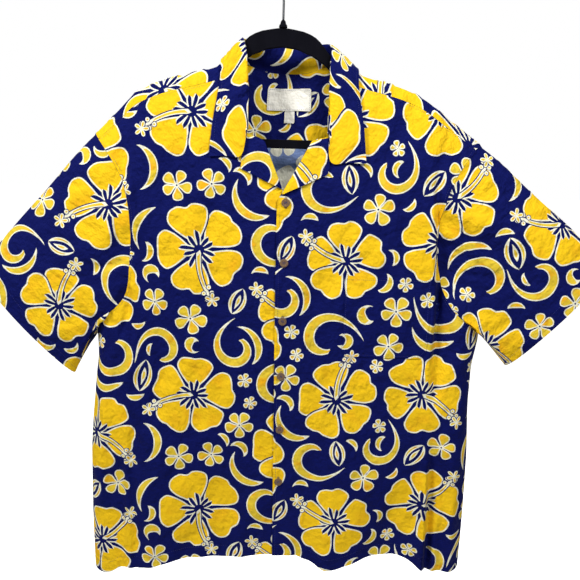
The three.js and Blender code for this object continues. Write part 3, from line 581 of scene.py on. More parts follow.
def foldDepth(rows, face, x, z, soften=0.0, fades=(0.35, 0.3)):
    # height of all the folds of one face at x z
    total = np.zeros(np.shape(x))
    for on, x0, z0, x1, z1, out, wide in rows:
        dx, dz = x1 - x0, z1 - z0
        long = dx * dx + dz * dz
        t = ((x - x0) * dx + (z - z0) * dz) / long
        across = ((x - x0) * dz - (z - z0) * dx) / math.sqrt(long)
        across = across / (wide * (1 + soften * np.sin(2.6 * t + x0)))
        total += (face == on) * out * ease(t / fades[0]) * ease((1 - t) / fades[1]) * np.exp(-(across**2))
    return total


def ripple(face, x, z):
    total = np.zeros(np.shape(x))
    for height, wave, fall, start in ripples:
        total += height * np.sin(2 * math.pi * (x / wave + z / fall) + start + face)
    return total


def torso(face, x, z, top=0.0, creased=True):
    # outer face of the body; x is the distance round the cloth from the centre
    s = body
    below = np.maximum(ridge(x) - z, 0)
    swell = s["sideRadius"] - s["ridgeRound"]
    depth = swell * (1 - np.exp(-below / s["depthFall"]))
    depth = depth + s["ridgeRound"] * (1 - np.exp(-below / s["ridgeRoundFall"]))
    b = s["neckBulge"]
    bulge = b["out"] * np.exp(-(((x - b["x"]) / b["wide"]) ** 2) - ((z - b["z"]) / b["tall"]) ** 2)
    depth = depth + (face > 0) * bulge * np.minimum(below / b["rise"], 1)
    depth = depth + foldDepth(s["folds"], face, x, z)
    if creased:
        calm = ease((below - s["calm"][0]) / s["calm"][1])
        depth = depth + calm * (foldDepth(creases, face, x, z, 0.28) * s["creaseScale"] + ripple(face, x, z))
    u = s["lift"]
    beside = ease((u["far"] - x) / (u["far"] - u["near"]))
    depth = depth + top * u["out"] * ease((u["top"] - z) / u["rise"]) * beside
    turn = np.maximum(np.abs(x) - s["flatHalf"], 0) / s["sideRadius"]
    out = np.minimum(np.abs(x), s["flatHalf"]) + s["sideRadius"] * np.sin(turn)
    w, e = s["waist"], s["spread"]
    drawn = w["draw"] * ease((z - w["low"]) / w["lowFade"]) * ease((w["high"] - z) / w["highFade"])
    a = s["armpit"]
    pinch = a["draw"] * np.exp(-(((z - a["z"]) / a["wide"]) ** 2)) * ease((np.abs(x) - a["from"]) / a["fade"])
    drawn = drawn + (np.asarray(x) < 0) * pinch
    flare = 1 - drawn + e["out"] * ease((e["top"] - z) / e["fade"])
    return np.stack([np.sign(x) * out * flare + s["offset"], face * depth * np.cos(turn), z + 0 * x], axis=-1)


def facingOf(place, flat, reach=0.4):
    # which way a placed surface faces, from points close round each one
    dx, dy = np.array([reach, 0]), np.array([0, reach])
    return unit(np.cross(place(flat + dx) - place(flat - dx), place(flat + dy) - place(flat - dy)))


def armhole(z):
    return np.where(z <= underArm, halfGirth, byHeight(body["armhole"], z))


def yokePlace(x, drop):
    s = body["yokeSeam"]
    tipX = body["tip"][0]
    x = np.asarray(x, float)
    pull = np.maximum((np.abs(x) - s["straight"]) / (tipX - s["straight"]), 0) ** 2
    seamX = x - np.sign(x) * (tipX - s["x"]) * pull
    seamZ = s["z"] - s["droop"] * (seamX / s["x"]) ** 2
    side = np.where(x < 0, *body["neck"])
    onNeck = (x > body["neck"][0]) & (x < body["neck"][1])
    top = np.where(onNeck, mix(body["neckRow"], ridge(side), np.abs(x / side) ** 3), ridge(x))
    return mix(x, seamX, drop), mix(top, seamZ, drop)


# finishes: colours are linear, sizes in metres of cloth
finish = {
    "navy": (0.0032, 0.006, 0.082), "yellow": (0.93, 0.58, 0.012), "orange": (0.85, 0.36, 0.01),
    "white": (0.86, 0.84, 0.68), "pale": (0.8, 0.575, 0.04), "deep": (0.86, 0.43, 0.012),
    "reverseNavy": (0.17, 0.24, 0.45), "reverseLight": (0.88, 0.86, 0.7),
    "threadEvery": 0.0009,
    "roughness": 0.8,
}


class Nodes:
    # short way to add and join shader nodes
    def __init__(self, name):
        self.material = bpy.data.materials.new(name)
        self.material.use_nodes = True
        self.tree = self.material.node_tree
        self.shader = self.tree.nodes["Principled BSDF"]

    def put(self, socket, value):
        if hasattr(value, "is_output"):
            self.tree.links.new(value, socket)
        elif isinstance(value, tuple) and len(value) == 3 and len(socket.default_value) == 4:
            socket.default_value = (*value, 1)
        else:
            socket.default_value = value

    def give(self, name, value):
        self.put(self.shader.inputs[name], value)

    def add(self, kind, inputs=(), output=0, **settings):
        node = self.tree.nodes.new("ShaderNode" + kind)
        for key, value in settings.items():
            setattr(node, key, value)
        for key, value in dict(inputs).items():
            self.put(node.inputs[key], value)
        return node.outputs[output]

    def attribute(self, name, output="Fac"):
        return self.add("Attribute", attribute_name=name, output=output)

    def math(self, operation, a, b=0.0, c=0.0):
        return self.add("Math", {0: a, 1: b, 2: c}, operation=operation)

    def blend(self, fac, a, b):
        return self.add("Mix", {0: fac, 6: a, 7: b}, output=2, data_type="RGBA")

    def noise(self, vector, scale, detail=2.0, roughness=0.5):
        inputs = {"Vector": vector, "Scale": scale, "Detail": detail, "Roughness": roughness}
        return self.add("TexNoise", inputs)

    def ramp(self, fac, low, high):
        inputs = {0: fac, 1: low, 2: high}
        return self.add("MapRange", inputs, clamp=True, interpolation_type="SMOOTHSTEP")

    def bump(self, height, strength, distance, normal=None):
        inputs = {"Height": height, "Strength": strength, "Distance": distance}
        if normal is not None:
            inputs["Normal"] = normal
        return self.add("Bump", inputs)


def clothNodes(name, sheen):
    # weave, slubs, wrinkles and crumples that all the cloths share
    n = Nodes(name)
    threads = n.attribute("threads", "Vector")
    split = n.tree.nodes.new("ShaderNodeSeparateXYZ")
    n.put(split.inputs[0], threads)
    pitch = 2 * math.pi / finish["threadEvery"]
    warp = n.math("SINE", n.math("MULTIPLY", split.outputs[0], pitch))
    weft = n.math("SINE", n.math("MULTIPLY", split.outputs[1], pitch))
    weave = n.math("MULTIPLY", n.math("ADD", warp, weft), 0.5)
    slub = n.noise(n.add("Mapping", {"Vector": threads, "Scale": (90, 900, 1)}), 1.0, 3)
    wrinkle = n.noise(threads, 130, 3, 0.6)
    n.give("Roughness", finish["roughness"])
    n.give("Sheen Weight", sheen)
    n.give("Sheen Roughness", 0.45)
    n.give("Specular IOR Level", 0.06)
    crumple = n.noise(n.add("Mapping", {"Vector": threads, "Scale": (1.5, 1, 1)}), 17, 4, 0.6)
    sharp = n.math("MINIMUM", n.math("ABSOLUTE", n.math("SUBTRACT", n.noise(threads, 13, 2, 0.4), 0.5)), 0.07)
    soft = n.bump(wrinkle, 0.8, 0.0025, n.bump(sharp, 1.0, 0.012, n.bump(crumple, 1.0, 0.013)))
    fine = n.bump(n.math("ADD", weave, slub), 0.35, 0.00007, soft)
    n.give("Normal", fine)
    return n, threads, slub


def printedCloth():
    n, threads, slub = clothNodes("printedCloth", 0.008)
    ink = n.attribute("ink")

    def isInk(number):
        return n.math("COMPARE", ink, float(inks[number]), 0.3)

    cloud, blotch = n.noise(threads, 24, 3), n.ramp(n.noise(threads, 46, 2), 0.5, 0.72)

    def slubbed(colour, low, high, gain):
        return n.blend(n.ramp(slub, low, high), colour, tuple(gain * c for c in colour))

    navy = slubbed(finish["navy"], 0.35, 0.75, 1.35)
    yellow = n.blend(n.ramp(cloud, 0.48, 0.95), finish["yellow"], finish["orange"])
    pale = n.blend(blotch, finish["pale"], finish["deep"])
    colour = n.blend(isInk("yellow"), navy, yellow)
    colour = n.blend(isInk("white"), colour, finish["white"])
    colour = n.blend(isInk("pale"), colour, pale)
    heather = slubbed(finish["reverseNavy"], 0.3, 0.7, 1.5)
    behind = n.blend(n.math("MINIMUM", ink, 1.0), heather, finish["reverseLight"])
    colour = n.blend(n.attribute("reverse"), colour, behind)
    n.give("Base Color", colour)
    return n.material


def labelCloth():
    n, _, slub = clothNodes("labelCloth", 0.1)
    n.give("Base Color", n.blend(n.ramp(slub, 0.3, 0.75), (0.88, 0.86, 0.78), (0.8, 0.77, 0.68)))
    return n.material


def threadNodes():
    n = Nodes("thread")
    place = n.add("TexCoord", output="Object")
    n.give("Base Color", n.blend(n.noise(place, 900), (0.012, 0.014, 0.1), (0.03, 0.035, 0.18)))
    n.give("Roughness", 0.55)
    return n.material


def coconutNodes():
    n = Nodes("coconut")
    place = n.add("TexCoord", output="Object")
    grain = n.noise(n.add("Mapping", {"Vector": place, "Scale": (1, 1, 6)}), 420, 5, 0.65)
    fleck = n.ramp(n.noise(place, 1400, 2), 0.6, 0.7)
    colour = n.blend(grain, (0.055, 0.028, 0.014), (0.26, 0.155, 0.085))
    n.give("Base Color", n.blend(fleck, colour, (0.42, 0.29, 0.18)))
    n.give("Roughness", n.ramp(grain, -1.0, 2.2))
    n.give("Normal", n.bump(grain, 0.4, 0.0003))
    return n.material


def flockNodes():
    n = Nodes("flock")
    place = n.add("TexCoord", output="Object")
    pile = n.noise(place, 2600, 3, 0.7)
    brushed = n.noise(n.add("Mapping", {"Vector": place, "Scale": (1, 1, 0.35)}), 70, 4)
    n.give("Base Color", n.blend(brushed, (0.0015, 0.0015, 0.0035), (0.006, 0.006, 0.01)))
    n.give("Roughness", 0.95)
    n.give("Specular IOR Level", 0.06)
    n.give("Sheen Weight", 0.03)
    n.give("Normal", n.bump(n.math("ADD", pile, brushed), 0.6, 0.0005))
    return n.material


def wireNodes():
    n = Nodes("wire")
    place = n.add("TexCoord", output="Object")
    drawn = n.noise(n.add("Mapping", {"Vector": place, "Scale": (1, 1, 0.1)}), 1800, 2)
    n.give("Base Color", n.blend(drawn, (0.06, 0.062, 0.068), (0.13, 0.135, 0.14)))
    n.give("Metallic", 1.0)
    n.give("Roughness", n.ramp(drawn, -1.2, 3.2))
    return n.material


clothMaterial, labelMaterial = printedCloth(), labelCloth()
threadMaterial, coconutMaterial = threadNodes(), coconutNodes()
flockMaterial, wireMaterial = flockNodes(), wireNodes()


class Form:
    # where a point of the flat cut goes, and which way the cloth faces there
    def __init__(self, place, facing=None):
        self.place = place
        self.facing = facing or (lambda flat: facingOf(place, flat))


def gridForm(flat, points, flip):
    # a form worked out at the crossings of a fine grid
    m, n = flat.shape[:2]
    k = np.arange(m * n).reshape(m, n)
    a, b, c, d = (part.ravel() for part in (k[:-1, :-1], k[1:, :-1], k[1:, 1:], k[:-1, 1:]))
    triangles = np.vstack([np.column_stack([a, b, c]), np.column_stack([a, c, d])])
    normal = np.cross(np.gradient(points, axis=0), np.gradient(points, axis=1)).reshape(-1, 3)
    normal = unit(normal) * flip
    corners, shaped = flat.reshape(-1, 2), points.reshape(-1, 3)
    tree = BVHTree.FromPolygons([(x, y, 0) for x, y in corners], triangles.tolist())

    def read(values, at):
        t = triangles[[tree.find_nearest(Vector((x, y, 0)))[2] for x, y in at]]
        o, v, w, p = corners[t[:, 0]], corners[t[:, 1]], corners[t[:, 2]], at
        v, w, p = v - o, w - o, p - o
        whole = v[:, 0] * w[:, 1] - w[:, 0] * v[:, 1]
        second = ((p[:, 0] * w[:, 1] - w[:, 0] * p[:, 1]) / whole)[:, None]
        third = ((v[:, 0] * p[:, 1] - p[:, 0] * v[:, 1]) / whole)[:, None]
        first = 1 - second - third
        return values[t[:, 0]] * first + values[t[:, 1]] * second + values[t[:, 2]] * third

    return Form(lambda at: read(shaped, at), lambda at: unit(read(normal, at)))


# rows of stitching: how far they draw the cloth in, and the stitches' own size
stitch = {
    "depth": 0.55, "wide": 1.5, "pucker": 0.22, "puckerWide": 9,
    "long": 2.3, "every": 3.1, "thick": 0.36, "proud": 0.1,
    "holeLong": 1.5, "holeEvery": 0.6,     # round the buttonholes
    "beside": (-2.6, -1.2, 0, 1.2, 2.6),   # rows of the cloth's own points along a seam
}
stitchLines = []


def sewn(form, lines, flat):
    # the piece's points, drawn in along its rows of stitching
    points = form.place(flat)
    if not lines:
        return points
    near = distanceTo(lines, flat)
    run = flat[:, 0] + flat[:, 1]
    pucker = stitch["pucker"] * np.exp(-((near / stitch["puckerWide"]) ** 2))
    pucker = pucker * np.sin(run / 2.9 + 1.7 * np.sin(run / 11))
    groove = stitch["depth"] * np.exp(-((near / stitch["wide"]) ** 2))
    return points - form.facing(flat) * (groove - pucker)[:, None]


def alongCreases():
    # extra points beside the front's sharper creases, so that the mesh follows them
    rows = []
    for on, x0, z0, x1, z1, _, wide in creases:
        if on < 0 and wide <= 6:
            line = resample([(x0, z0), (x1, z1)], 7.0)
            rows += [line + sideways(line) * off for off in (-7.5, -4, -1.5, 1.5, 4, 7.5)]
    return rows


def sewCloth(name, node, outline, form, shift, turn=0, lines=(), step=7.0, thick=None, reverse=1.0,
             extra=()):
    # one cut piece: flat outline, printed, then laid on its form; labels have no print, so no shift
    outline = resample(np.vstack([outline, outline[:1]]), 4.0)[:-1]
    lines = [resample(line, 3.0) for line in lines]
    rows = list(extra)
    for line in lines:
        rows += [line + sideways(line) * off for off in stitch["beside"]]
        stitchLines.append((form, line))
    low, high = outline.min(axis=0), outline.max(axis=0)
    printed = [] if shift is None else printOver(low, high, np.array(shift, float), turn)
    flat, triangles, ink = cutFlat(outline, printed, step, rows)
    points, normals = sewn(form, lines, flat), form.facing(flat)
    piece = buildShell(name, flat, triangles, ink, points, normals, thick or body["thick"], reverse)
    look = (labelMaterial, "label_cloth") if shift is None else (clothMaterial, "print_cloth")
    dress(piece, *look, node)


def torsoForm(face, top=0.0, mirror=1):
    # the flat cut's x runs to the wearer's left on the front, and the other way on a mirrored piece
    return Form(lambda flat: torso(face, flat[:, 0] * mirror, flat[:, 1], top))


def sideEdge(side, top, count=90):
    # down the armhole from the yoke's seam, then down the side to the hem
    z = np.linspace(top, underArm, count)
    arm = np.column_stack([side * armhole(z), z])
    z = np.linspace(underArm - 8.5, body["hem"] - body["hemDroop"] - 4, 100)
    flank = np.column_stack([np.full(100, side * (halfGirth - body["gap"] / 2)), z])
    return np.vstack([arm[1:], flank])


def frontOutline(side, edge):
    x, z = yokePlace(side * np.linspace(edge[0][1], body["tip"][0], 60), body["frontPart"])
    seam = np.column_stack([x, z - body["gap"]])
    hem = hemLine(side * halfGirth, side * edge[-1][1], 0, 90)
    z = np.linspace(hem[-1, 1], edge[0][0] - 1, 160)
    inner = np.column_stack([side * byHeight(edge, z), z])
    return np.vstack([seam, sideEdge(side, seam[-1, 1]), hem[1:], inner[1:]])


def hemLine(first, last, above, count=80, wave="frontWave"):
    x = np.linspace(first, last, count)
    t = np.abs(x) / halfGirth
    return np.column_stack([x, body["hem"] - body["hemDroop"] * t + above + readRows(body[wave], x)])


def besideArmhole(side, inward, top=-262.0):
    z = np.linspace(top, -534, 70)
    return np.column_stack([side * (armhole(z) - inward), z])


def edgeLine(rows, side, inward, top=-350, low=-925):
    z = np.linspace(top, low, 120)
    return np.column_stack([side * byHeight(rows, z) + inward, z])


def underYoke(face, first, last, below=3.0):
    x, z = yokePlace(np.linspace(first, last, 90), 1 if face > 0 else body["frontPart"])
    return np.column_stack([x, z - below])


# body panels: where the print starts on each, and how far the seams' stitching lies from the edge
panel = {
    "left": (168, -36), "right": (96, -118), "back": (40, 60), "yoke": (210, 150), "hem": 19, "seam": 4.0,
}
leftLines = [
    hemLine(-4, halfGirth - 2, panel["hem"]), edgeLine(body["leftEdge"], 1, 4.5),
    besideArmhole(1, panel["seam"]), underYoke(-1, 76, 281),
]
rightLines = [
    hemLine(-halfGirth + 2, 11, panel["hem"]), besideArmhole(-1, panel["seam"]), underYoke(-1, -281, -90),
]
backLines = [
    hemLine(-halfGirth + 2, halfGirth - 2, panel["hem"], wave="backWave"),
    besideArmhole(1, panel["seam"], -312), besideArmhole(-1, panel["seam"], -312), underYoke(1, -280, 280),
]
sewCloth("frontLeftCloth", "front_left", frontOutline(1, body["leftEdge"]), torsoForm(-1, 1.0), panel["left"],
         lines=leftLines, extra=alongCreases())
sewCloth("frontRightCloth", "front_right", frontOutline(-1, body["rightEdge"]), torsoForm(-1), panel["right"],
         lines=rightLines, extra=alongCreases())


def backOutline():
    # seen from behind, so mirrored
    x, z = yokePlace(np.linspace(-body["tip"][0], body["tip"][0], 150), 1)
    seam = np.column_stack([x, z - body["gap"]])
    hem = hemLine(halfGirth, -halfGirth, 0, 160, "backWave")
    left, right = (sideEdge(side, seam[-1, 1], 80) for side in (1, -1))
    return np.vstack([seam, left, hem[1:-1], right[::-1]]) * (-1, 1)


sewCloth("backCloth", "back", backOutline(), torsoForm(1, mirror=-1), panel["back"],
         lines=[line * (-1, 1) for line in backLines], step=10.0)


# yoke: its flat cut lies over the shoulders, height 0 on the ridge, back part above, front part below
def yokePoint(flat):
    x, drop = flat[:, 0], flat[:, 1]
    face = np.where(drop < 0, -1, 1)
    return torso(face, x, ridge(x) - np.abs(drop))


def yokeOutline():
    columns = np.linspace(-body["tip"][0], body["tip"][0], 190)
    seamX, seamZ = yokePlace(columns, 1)
    backSeam = np.column_stack([seamX, ridge(seamX) - seamZ])
    frontX, frontZ = yokePlace(columns, body["frontPart"])
    front = np.column_stack([frontX, frontZ - ridge(frontX)])
    neckX, neckZ = yokePlace(np.linspace(*body["neck"], 40), 0)
    neck = np.column_stack([neckX, np.maximum(ridge(neckX) - neckZ, 0)])
    right, left = front[columns <= body["neck"][0]], front[columns >= body["neck"][1]]
    tips = [np.array([sign * body["tip"][0], 0.0]) for sign in (-1, 1)]

    def line(start, end):
        return start + (end - start) * np.linspace(0, 1, 12)[1:-1, None]

    return np.vstack([
        backSeam[::-1], line(backSeam[0], tips[0]), tips[:1], line(tips[0], right[0]), right,
        [[body["neck"][0], 0.0]], neck, [[body["neck"][1], 0.0]], left,
        line(left[-1], tips[1]), tips[1:], line(tips[1], backSeam[-1]),
    ])


sewCloth("yokeCloth", "yoke", yokeOutline(), Form(yokePoint), panel["yoke"], step=6.0)
print("body pieces done")

# sleeves: both ends of the hem, from the shirt's centre
sleeve = {
    "left": {
        "side": 1, "top": (505, -4, -425), "low": (357, -6, -591), "shift": (120, 240), "turn": -52,
    },
    "right": {
        "side": -1, "top": (-478.5, -4, -459), "low": (-332, -6, -624), "shift": (310, 170), "turn": 47,
    },
    "bulge": 24, "swell": 5, "clear": 5, "hem": 24, "dip": 1.6, "dipAt": 7,
    "lowFrom": 0.55, "lowFade": 0.25, "lowTo": 0.94, "lowToFade": 0.06, "lowPower": 0.6,
    # the last of these: how far from the armpit the sleeve's reverse keeps the print's darker colours, as
    # painted shade in the fold there
    "rings": 70, "around": 90, "calm": (12, 25), "paintedShadeReach": 80,
    # along the sleeve and across it from its top fold, to the same at the other end, height, width
    "creases": [
        (52, 104, 108, 160, -4.5, 4.5), (62, 96, 118, 148, 2.6, 7), (108, 174, 152, 140, -4, 4.5),
        (112, 184, 158, 150, 2.8, 6), (96, 200, 150, 176, -3.2, 5), (30, 150, 80, 205, -3.2, 6),
        (20, 168, 60, 214, 2.6, 7), (150, 120, 250, 90, -2, 8), (200, 190, 262, 150, -2.2, 7),
        (180, 60, 262, 30, 1.6, 9), (30, -130, 90, -190, -3.4, 6), (60, -120, 120, -170, 2.4, 8),
        (150, -60, 250, -40, -2, 9), (20, 60, 150, 40, 1.6, 13), (8, 205, 120, 150, -2.6, 9),
        (4, 240, 140, 190, -2.8, 10), (10, 170, 90, 118, 1.8, 10), (60, 110, 200, 92, -1.4, 14),
        (30, 262, 150, 232, 2.2, 9), (120, 210, 235, 180, 1.4, 13), (0, 110, 60, 84, -1.5, 10),
        (20, -70, 150, -52, 1.6, 14), (8, -200, 130, -150, -2.4, 11), (4, -245, 120, -200, -2.2, 10),
        (90, -110, 220, -96, 1.6, 14),
    ],
}


def buildSleeve(name, node, spec):
    s = sleeve
    offset = np.array([body["offset"], 0, 0])
    top, low = (np.array(spec[key], float) + offset for key in ("top", "low"))
    z = np.linspace(body["tip"][1], underArm, 400)
    angle = np.linspace(0, math.pi, s["around"])
    share = angle / math.pi
    nearLow = ease((share - s["lowFrom"]) / s["lowFade"]) * (1 - ease((share - s["lowTo"]) / s["lowToFade"]))
    t = np.linspace(0, 1, s["rings"])
    clear = s["clear"] * np.sin(math.pi * np.minimum(t * 2, 1) ** s["lowPower"])
    halves = []
    for face in (-1, 1):
        # straight from the armhole to the hem, then bulged
        start = torso(face, spec["side"] * armhole(z), z)
        start[[0, -1], 1] = 0
        start = spaced(start, s["around"])
        hem = top + (low - top) * ((1 - np.cos(angle)) / 2)[:, None]
        hem[:, 1] += face * s["bulge"] * np.sin(angle)
        points = mix((start + unit(hem - start) * body["gap"])[:, None], hem[:, None], t[None, :, None])
        swell = s["swell"] * np.outer(np.sin(angle), np.sin(math.pi * t))
        points[..., 1] += face * (swell + np.outer(nearLow, clear))
        halves.append(points)
    front, behind = halves
    points = np.concatenate([behind[:0:-1], front])
    middle = s["around"] - 1
    axis = unit((points[middle, -1] - points[middle, 0]) * (1, 0, 1))
    along = (points - points[middle, 0]) @ axis
    steps = np.diff(points, axis=0)
    steps = np.sqrt(np.maximum((steps**2).sum(axis=2) - (steps @ axis) ** 2, 0.01))
    across = np.concatenate([np.zeros((1, points.shape[1])), np.cumsum(steps, axis=0)])
    across -= across[middle]
    flat = np.stack([along, across], axis=-1)
    normal = unit(np.cross(np.gradient(points, axis=0), np.gradient(points, axis=1)))
    outward = -np.sign(normal[middle + 30, 30, 1])
    depth = foldDepth([(0, *row) for row in s["creases"]], 0, along, across, fades=(0.3, 0.35))
    depth += 0.5 * np.sin(along / 23 + across / 61) + 0.3 * np.sin(along / 37 - across / 19)
    fromSeam = np.linalg.norm(points - points[:, :1], axis=2)
    fromFold = np.abs(across).max(axis=0) - np.abs(across)
    depth = depth * ease(fromSeam / s["calm"][0]) * ease(fromFold / s["calm"][1])
    depth -= s["dip"] * fromSeam / s["dipAt"] * np.exp(1 - fromSeam / s["dipAt"])
    points = points + normal * outward * depth[..., None]
    form = gridForm(flat, points, outward)
    edge = np.vstack([flat[:, 0], flat[-1, 1:], flat[-2::-1, -1], flat[0, -2:0:-1]])
    fromHem = along[middle, -1] - along[middle]
    line = flat[3:-3, int(np.interp(s["hem"], fromHem[::-1], np.arange(s["rings"])[::-1]))]
    armpit = np.abs(flat[-1, 0])

    def inside(at):
        # pale like the rest of the reverse, but near the armpit, where the fold turns the reverse out, it
        # keeps the print's darker colours as painted shade
        return ease(np.linalg.norm(np.abs(at) - armpit, axis=1) - s["paintedShadeReach"])

    sewCloth(name, node, edge, form, spec["shift"], spec["turn"], lines=[line], reverse=inside)


buildSleeve("sleeveLeftCloth", "sleeve_left", sleeve["left"])
buildSleeve("sleeveRightCloth", "sleeve_right", sleeve["right"])
print("sleeves done")

# collar: the fold line and the outer edge laid on the shirt; the last number is the side of the shirt below
collar = {
    "thick": 1.0, "fold": 2.2, "lift": 4.2, "near": 0.36, "far": 0.72, "crown": 0.9,
    "right": [
        (-26, 38, -111.5, -36, -167, 1), (-47, 26, -110.5, -68, -167, 1), (-60, 14, -110, -90, -161, 1),
        (-66.5, 5, -110.5, -97, -150, 1), (-67.5, 0, -111, -98, 0, 0), (-66, -5, -113, -98.5, -151, -1),
        (-61, -14, -134, -98.5, -168, -1), (-57.5, -24, -166, -102, -192, -1),
        (-56.8, -28, -205, -109, -234, -1),
        (-56.3, -32, -238, -113.5, -279, -1),
    ],
    "back": (0, 44, -112, 0, -166, 1),
    "left": [
        (24, 38, -111.5, 36, -167, 1), (42, 26, -111.5, 68, -168, 1), (53, 14, -113, 90, -166, 1),
        (58, 5, -116, 98, -160, 1), (59.5, 0, -117.5, 99, 0, 0), (59.5, -5, -121, 99.5, -160, -1),
        (58, -14, -138, 100, -174, -1), (57, -24, -168, 103, -195, -1), (56.8, -28, -208, 110, -236, -1),
        (57.2, -32, -242, 115, -283, -1),
    ],
    "notchRight": (-66, -276), "notchLeft": (63, -282),
    "clear": 1.2, "rise": 1.2, "inset": 1.2, "frontClear": 2.8, "lowest": -236, "below": 8,
    "backReach": 62, "backPart": 0.93, "sidePart": 0.985, "backInset": 2.1, "backRise": 1.4,
    "backDrop": 0.004,
    "stitch": 5.5,
    "finer": (8, 5),   # rows of points to each rib, and to each of a rib's points
}


def onTorso(face, x, z, out):
    # one spot this far out of the smooth body; a mirrored cut faces inwards on the back
    flat = np.array([[float(x), float(z)]])
    form = Form(lambda f: torso(face, f[:, 0], f[:, 1], creased=False))
    return (form.place(flat) - form.facing(flat) * face * out)[0]


def collarFoot(row):
    s = collar
    rollX, rollY, rollZ, _, _, face = row
    sign = math.copysign(1, rollX) if rollX else 1
    side = body["neck"][0] if rollX < 0 else body["neck"][1]
    sideRidge = float(ridge(side))
    if face == 0:
        return np.array([side - sign * s["clear"] + body["offset"], 0, sideRidge + s["rise"]])
    if face > 0:
        part = s["sidePart"] if abs(rollY) < 8 else min(abs(rollX) / s["backReach"], 1) * s["backPart"]
        x, z = (float(v) for v in yokePlace(side * part, s["backDrop"]))
        point = onTorso(1, x, z, -s["backInset"])
        return np.array([point[0], point[1], z + s["backRise"]])
    edge = body["rightEdge"] if sign < 0 else body["leftEdge"]
    beside = rollY > -8
    top = sideRidge - (4.5 if beside else 9)
    z = top if beside else max(min(rollZ - s["below"], top), s["lowest"])
    x = sign * ((abs(side) if beside else float(byHeight(edge, z))) - s["frontClear"])
    return onTorso(-1, x, z, -s["inset"])


def collarRib(row, before, after, notch):
    s = collar
    offset = np.array([body["offset"], 0, 0])
    roll = np.array(row[:3], float) + offset
    face = row[5]
    if face == 0:
        x, z = row[3], float(ridge(row[3]))
        front, behind = (onTorso(f, x, z - 0.6, 1) - onTorso(f, x, z - 0.6, 0) for f in (-1, 1))
        normal = (front + behind) * (1, 0, 1)
        base = onTorso(-1, x, z, 0) * (1, 0, 1)
        edge = base + unit(normal) * s["lift"]
    else:
        edge = onTorso(face, row[3], row[4], s["lift"])
    run = np.array(after[:3], float) - np.array(before[:3], float)
    apex = unit(roll - edge)
    out = unit(np.cross(apex, run))
    centre = roll - apex * s["fold"]

    def arc(angle):
        return centre + out * s["fold"] * math.cos(angle) + apex * s["fold"] * math.sin(angle)

    lap, stand, seam = arc(0), arc(math.pi), collarFoot(row)
    if notch is None:
        across = [mix(edge, lap, s[key]) + out * s["crown"] for key in ("near", "far")]
    else:
        across = [mix(edge, notch, 0.5), notch]
    roll = [arc(k * math.pi / 4) for k in (1, 2, 3)]
    return [edge, *across, lap, *roll, stand, mix(stand, seam, 0.5), seam]


def smoothRows(points, per):
    # more rows between the given ones, on a smooth curve through them
    p = np.concatenate([[2 * points[0] - points[1]], points, [2 * points[-1] - points[-2]]])
    out = []
    for k in range(1, len(p) - 2):
        for t in np.arange(per) / per:
            out.append(curveThrough(*p[k - 1:k + 3], t))
    return np.array(out + [p[-2]])


def buildCollar():
    s = collar
    rows = s["right"][::-1] + [s["back"]] + s["left"]
    ribs = []
    for k, row in enumerate(rows):
        spot = {0: s["notchRight"], len(rows) - 1: s["notchLeft"]}.get(k)
        notch = spot and onTorso(-1, *spot, s["lift"])
        ribs.append(collarRib(row, rows[max(k - 1, 0)], rows[min(k + 1, len(rows) - 1)], notch))
    points = smoothRows(np.array(ribs), s["finer"][0])
    points = smoothRows(points.swapaxes(0, 1), s["finer"][1]).swapaxes(0, 1)
    fold = 5 * s["finer"][1]   # the roll's top
    along = runAlong(points[:, fold])
    across = np.array([runAlong(rib) for rib in points])
    across = across - across[:, fold:fold + 1]
    flat = np.stack([np.repeat(along[:, None], points.shape[1], axis=1), across], axis=-1)
    normal = np.cross(np.gradient(points, axis=0), np.gradient(points, axis=1))
    middle = normal[len(normal) // 2, 4]
    form = gridForm(flat, points, 1 if middle[1] > 0 else -1)
    edge = np.vstack([flat[:, 0], flat[-1, 1:], flat[-2::-1, -1], flat[0, -2:0:-1]])
    line = np.column_stack([along, across[:, 0] + s["stitch"]])[3:-3]
    sewCloth("collarCloth", "collar", edge, form, (60, 180), lines=[line], step=5.0, thick=s["thick"],
             reverse=0.0)


buildCollar()
print("collar done")

# lapels: corners from the collar seam round to the bottom of the V
lapel = {
    "right": {
        "side": -1, "top": 0.0, "shift": (150, 200), "turn": 12, "rests": "frontRightCloth",
        "inner": [(58, -244), (33.5, -254), (5, -323)], "outer": [(66, -274), (67.5, -295), (5, -323)],
    },
    "left": {
        "side": 1, "top": 1.0, "shift": (20, 330), "turn": -8, "rests": "frontLeftCloth",
        "inner": [(59, -248), (35.5, -252.5), (-7, -331)], "outer": [(62.5, -281), (60, -300), (-7, -331)],
    },
    "lift": 2.4, "roll": 1.7, "rollWide": 6, "rollFade": 30, "tuck": 1.8, "tuckWide": 1.6,
}


def buildLapel(name, node, spec):
    s = lapel
    inner, outer = (np.array(spec[key], float) * (spec["side"], 1) for key in ("inner", "outer"))
    fold = resample(inner, 2.0)
    outline = np.vstack([inner, outer[-2::-1]])
    base = torsoForm(-1, spec["top"])

    def place(flat):
        near = distanceTo([fold], flat)
        roll = ease(near / s["rollWide"]) - ease((near - s["rollWide"]) / s["rollFade"])
        lift = s["lift"] + s["roll"] * roll - s["tuck"] * np.exp(-((near / s["tuckWide"]) ** 2))
        return base.place(flat) + base.facing(flat) * lift[:, None]

    line = outer[:2] + np.array([(-4 * spec["side"], 4), (-4 * spec["side"], 5)])
    sewCloth(name, node, outline, Form(place), spec["shift"], spec["turn"], lines=[line], step=3.5,
             reverse=0.0)


buildLapel("lapelLeftCloth", "lapel_left", lapel["left"])
buildLapel("lapelRightCloth", "lapel_right", lapel["right"])


def patchForm(face, out):
    # a flat piece laid on the front, or inside the back, this far from the outer face of the cloth
    base = torsoForm(face)
    return Form(lambda flat: base.place(flat) + base.facing(flat) * out)


def boxOutline(x0, x1, z0, z1):
    return np.array([(x0, z1), (x1, z1), (x1, z0), (x0, z0)], float)


